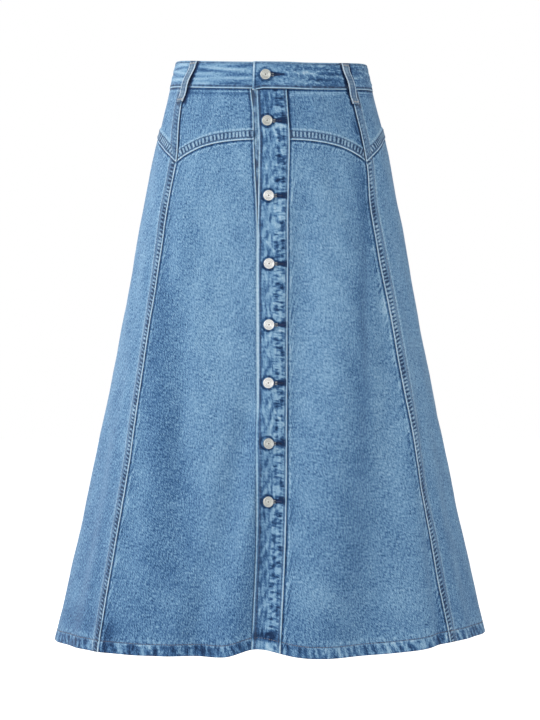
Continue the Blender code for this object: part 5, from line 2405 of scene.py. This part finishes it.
@dataclass
class BeltLoop:
    """A narrow strip, tacked at both ends and standing off the waistband between them."""

    spot: LoopPlace
    width: float = LOOP_WIDTH
    thick: float = 1.6 * MM
    turned_end: float = 1.0 * MM
    top_drop: float = 1.2 * MM      # below the waistband's top edge
    length: float = FORM.band_height + LOOP_BELOW_SEAM - 1.2 * MM
    bulge: float = 2.9 * MM
    row_inset: float = 2.6 * MM
    tack_shares: tuple[float, float] = (0.05, 0.95)

    def field(self, share: Array, across: Array) -> tuple[Array, Array, ClothField]:
        """The loop's cloth.

        Args:
            share: shares of the way down the loop.
            across: distances across it from its middle.

        Returns:
            Angles, heights and field there.
        """
        centre = self.spot.top_angle + (self.spot.foot_angle - self.spot.top_angle) * share
        z = FORM.waist_top(centre) - self.top_drop - self.length * share
        angle = centre + across / FORM.degree(centre, z)
        made = ClothField(angle.shape, self.thick)
        swell = np.sin(math.pi * np.clip((share - 0.12) / 0.76, 0.0, 1.0)) ** 2
        end = 1 - ramp(np.minimum(share, 1 - share), 0.10, 0.15)
        low = SEWING.half_band + SEWING.clear * 1.4 + self.bulge * swell
        side = self.width / 2 - np.abs(across)
        down = share * self.length
        small = patches(across, down, (50 * MM, 4.6 * MM), self.spot.top_angle * 0.01)
        relief = -0.28 * MM * bump(side, self.row_inset, 0.6 * MM) - 0.10 * MM * small
        relief += -0.12 * MM * bump(side, self.width / 2, 0.7 * MM)
        made.inner = np.broadcast_to(low, angle.shape).copy()
        made.outer = low + self.thick + self.turned_end * end + relief
        tack = sum(bump(share, middle, 0.04) for middle in self.tack_shares)
        shady = ramp(turn(self.spot.top_angle), -20.0, 20.0) * 0.15
        made.wear += 0.20 - shady - 0.28 * small + (1.25 + 0.5 * shady) * fall(side, 1.4, 2.2)
        made.wear -= 0.50 * bump(side, self.row_inset + 0.2 * MM, 0.7 * MM)
        made.wear -= 0.30 * bump(share, 0.66, 0.16) + 0.2 * tack
        made.grey += 0.9 * rise(side, 1.5, 2.2) + 0.8 * tack
        made.cut = np.stack(np.broadcast_arrays(across, down + self.spot.top_angle), axis=-1)
        made.close_edge(side, 0.7 * MM)
        made.close_edge(down, 0.9 * MM)
        made.close_edge(self.length - down, 0.9 * MM)
        return angle, np.broadcast_to(z, angle.shape), made

    def face(self, share: Array, across: Array, lift: float) -> Array:
        """Points on the loop's outer face."""
        angle, z, made = self.field(share, across)
        return FORM.off(angle, z, made.outer + lift)

    def build(self, wardrobe: Wardrobe) -> None:
        """Make the strip.

        Args:
            wardrobe: the materials.
        """
        edge = np.array([0.0, 0.3, 0.7, 1.4, 2.0, 2.6, 3.3, 4.4]) * MM
        across = np.concatenate([edge, [self.width / 2], self.width - edge[::-1]]) - self.width / 2
        tips = np.array([0.0, 0.006, 0.014])
        share = np.concatenate([tips, np.linspace(0.028, 0.972, 46), 1 - tips[::-1]])
        make_shell(self.spot.node, *self.field(share[:, None], across[None, :]), wardrobe.loop)

    def stitch_rows(self) -> list[StitchRow]:
        """The two rows down the loop.

        Returns:
            The rows.
        """
        share = np.linspace(0.03, 0.97, 30)
        inset = self.width / 2 - self.row_inset
        return [running(self.face(share, np.full(share.shape, side * inset), 0.08 * MM))
                for side in (-1.0, 1.0)]

    def tack_rows(self) -> list[StitchRow]:
        """The bar tacks across both ends, whose stitches lie down the loop.

        Returns:
            A row for each end.
        """
        rows = []
        across = np.linspace(-0.40, 0.40, 12) * self.width
        for share in self.tack_shares:
            here = np.full(across.shape, share)
            points = self.face(here, across, SEWING.thread_lift)
            rows.append(laid(points, self.face(here + 0.02, across, SEWING.thread_lift) - points))
        return rows


BUTTON_FACE = (     # radius and height in millimetres, from the middle to the rim's underside
    (0.0, -1.35), (0.35, -1.30), (0.65, -0.95), (0.95, -0.78), (1.6, -0.66), (2.4, -0.68),
    (3.1, -0.74), (3.5, -0.86), (3.75, -0.98), (4.0, -0.86), (4.4, -0.72), (5.0, -0.62),
    (5.5, -0.60), (5.75, -0.52), (6.0, -0.22), (6.3, -0.05), (6.7, 0.0), (7.2, -0.06),
    (7.6, -0.25), (7.9, -0.62), (8.0, -1.05), (7.95, -1.5), (7.7, -2.2), (7.0, -2.7))


@dataclass
class ShankButton:
    """A turned metal button whose shank stands in its buttonhole."""

    number: int
    spot: ButtonPlace
    radius: float = 7.3 * MM
    drawn_radius: float = 8.0 * MM  # of the outline as it is listed
    shank: float = 2.5 * MM
    head: float = 3.6 * MM
    sides: int = 56
    sharp: float = 50.0             # edges over this angle stay crisp

    def levels(self) -> tuple[float, float]:
        """Where the shank's foot and its top stand off the body surface.

        Returns:
            Both distances.
        """
        if self.number == 1:
            return SEWING.half_band, 4.8 * MM
        return SEWING.ply / 2, SEWING.ply / 2 + SEWING.clear + SEWING.placket

    def turned(self, neck: float) -> bpy.types.Mesh:
        """Turn half of the button's outline into its mesh.

        Args:
            neck: length of the shank.

        Returns:
            The mesh, standing upright at the origin.
        """
        scale, top = self.drawn_radius, neck + self.head
        outline = [(r * MM * self.radius / scale, 0.0, top + h * MM) for r, h in BUTTON_FACE]
        outline += [(self.shank, 0.0, neck), (self.shank, 0.0, 0.0), (0.0, 0.0, 0.0)]
        mesh = bpy.data.meshes.new("outline")
        mesh.from_pydata(outline, [(k, k + 1) for k in range(len(outline) - 1)], [])
        blank = put("outline", mesh)
        screw = blank.modifiers.new("turn", "SCREW")
        screw.steps = screw.render_steps = self.sides
        screw.use_merge_vertices = True
        screw.merge_threshold = 0.05 * MM
        screw.use_smooth_shade = True
        mesh = applied(blank)
        bpy.data.objects.remove(blank, do_unlink=True)
        return mesh

    def build(self, wardrobe: Wardrobe) -> None:
        """Make the button and set it in place.

        Args:
            wardrobe: the materials.
        """
        seat, top = self.levels()
        mesh = self.turned(top - seat)
        carry(mesh, "ring", np.array([math.hypot(v.co.x, v.co.y) for v in mesh.vertices]))
        carry(mesh, "greying_share", np.full(len(mesh.vertices), self.spot.age))
        origin, axes = cloth_axes(self.spot)
        out = axes @ Vector((0.0, 0.0, 1.0))
        mesh.transform(Matrix.Translation(origin + out * (seat + SEWING.clear)) @ axes.to_4x4())
        mesh.set_sharp_from_angle(angle=math.radians(self.sharp))
        node = "button_{}".format(self.number)
        piece = link(node + "_turned", mesh, wardrobe.metal)
        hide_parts(node)
        settle(piece)


# --- Studio -----------------------------------------------------------------------------------
class Lamp(NamedTuple):
    """A square soft light: its heading round and up from the skirt, distance, size and watts."""

    name: str
    heading: float
    up: float
    distance: float
    size: float
    power: float


@dataclass
class Studio:
    """A pale floor, soft lights and the camera."""

    floor_level: float = -1.05
    floor_radius: float = 14.0
    floor_glow: float = 0.75        # makes the floor as white as the surroundings to the eye
    camera_place: tuple[float, float, float] = (-0.0014, -3.0, -0.407)
    lens: float = 105.0
    sensor: float = 36.0            # its long side
    sky: float = 0.42
    aim: tuple[float, float, float] = (0.0, 0.0, -0.4)      # what the lamps face
    lamps: tuple[Lamp, ...] = (
        Lamp("key_light", -58.0, 26.0, 2.6, 1.1, 33.0),
        Lamp("front_light", 15.0, 14.0, 3.2, 1.6, 18.0),
        Lamp("right_light", 70.0, 6.0, 2.8, 1.4, 13.0),
        Lamp("rim_light", -128.0, 12.0, 2.4, 1.2, 25.0),
    )

    def build(self) -> None:
        """Make all of it."""
        self.make_floor()
        for lamp in self.lamps:
            self.make_light(lamp)
        self.make_sky()
        data = bpy.data.cameras.new("camera")
        data.sensor_width = self.sensor
        data.lens = self.lens
        camera = put("camera", data)
        camera.location = self.camera_place
        camera.rotation_euler = (math.radians(90.0), 0.0, 0.0)
        bpy.context.scene.camera = camera
        bpy.context.scene.view_settings.view_transform = "Standard"

    def make_floor(self) -> None:
        """A wide round floor."""
        shape = bmesh.new()
        bmesh.ops.create_circle(shape, cap_ends=True, segments=96, radius=self.floor_radius,
                                matrix=Matrix.Translation((0.0, 0.0, self.floor_level)))
        material, make, shader = principled("pale_floor")
        seen = make.add("ShaderNodeLightPath").outputs["Is Camera Ray"]
        make.feed(shader, {"Base Color": (0.93, 0.93, 0.93, 1.0), "Roughness": 0.9,
                           "Emission Color": (1.0, 1.0, 1.0, 1.0),
                           "Emission Strength": make.times(seen, self.floor_glow)})
        link("floor", drawn("floor", shape), material)

    def make_light(self, lamp: Lamp) -> None:
        """A soft light that faces the middle of the skirt.

        Args:
            lamp: where it stands and how strong it is.
        """
        data = bpy.data.lights.new(lamp.name, "AREA")
        data.size = lamp.size
        data.energy = lamp.power
        light = put(lamp.name, data)
        heading, up = math.radians(lamp.heading), math.radians(lamp.up)
        way = Vector((math.cos(up) * math.sin(heading), -math.cos(up) * math.cos(heading),
                      math.sin(up)))
        light.location = Vector(self.aim) + way * lamp.distance
        light.rotation_euler = way.to_track_quat("Z", "Y").to_euler()
        light.visible_camera = False

    def make_sky(self) -> None:
        """Even white surroundings, brighter to the eye than as a light."""
        world = bpy.data.worlds.new("studio")
        world.use_nodes = True
        make = NodeMaker(world.node_tree)
        seen = make.add("ShaderNodeLightPath").outputs["Is Camera Ray"]
        make.feed(world.node_tree.nodes["Background"],
                  {"Color": (1.0, 1.0, 1.0, 1.0), "Strength": make.span(seen, 0.0, 1.0, self.sky, 1.0)})
        bpy.context.scene.world = world


def main() -> None:
    """Build the skirt piece by piece, then its stitching and the studio."""
    logging.basicConfig(level=logging.INFO, format="%(name)s %(message)s")
    wardrobe = Wardrobe()
    tree = make_stitch_tree()
    Studio().build()

    panels, placket, waistband = SkirtPanels(), Placket(), Waistband()
    loops = [BeltLoop(spot) for spot in LOOPS]
    buttons = [ShankButton(number, spot) for number, spot in enumerate(BUTTONS, start=1)]
    for part in (panels, placket, waistband, *loops, *buttons):
        part.build(wardrobe)

    rows = panels.stitch_rows()
    rows[Thread.STRONG] += placket.stitch_rows() + waistband.stitch_rows()
    rows[Thread.HEM] += placket.hem_rows()
    tacks = []
    for loop in loops:
        rows[Thread.STRONG] += loop.stitch_rows()
        tacks += loop.tack_rows()
    edgings = []
    for button in BUTTONS:
        face = waistband.face if button is BUTTONS[0] else placket.face
        edgings.append(KEYHOLE.edging(face, button))
        tacks += KEYHOLE.eye_rows(face, button)
    sewn = [Stitching(thread.value, wardrobe.threads[thread], rows[thread]) for thread in Thread]
    sewn += [Stitching("buttonhole_stitches", wardrobe.hole_thread, edgings, 0.55 * MM, 1.9 * MM,
                       0.26 * MM, unevenness=0.25, seed=8),
             Stitching("bar_tacks", wardrobe.tack_thread, tacks, 0.6 * MM, 2.6 * MM,
                       0.28 * MM, unevenness=0.15, seed=9)]
    for stitching in sewn:
        stitching.build(tree)


if __name__ == "__main__":
    main()
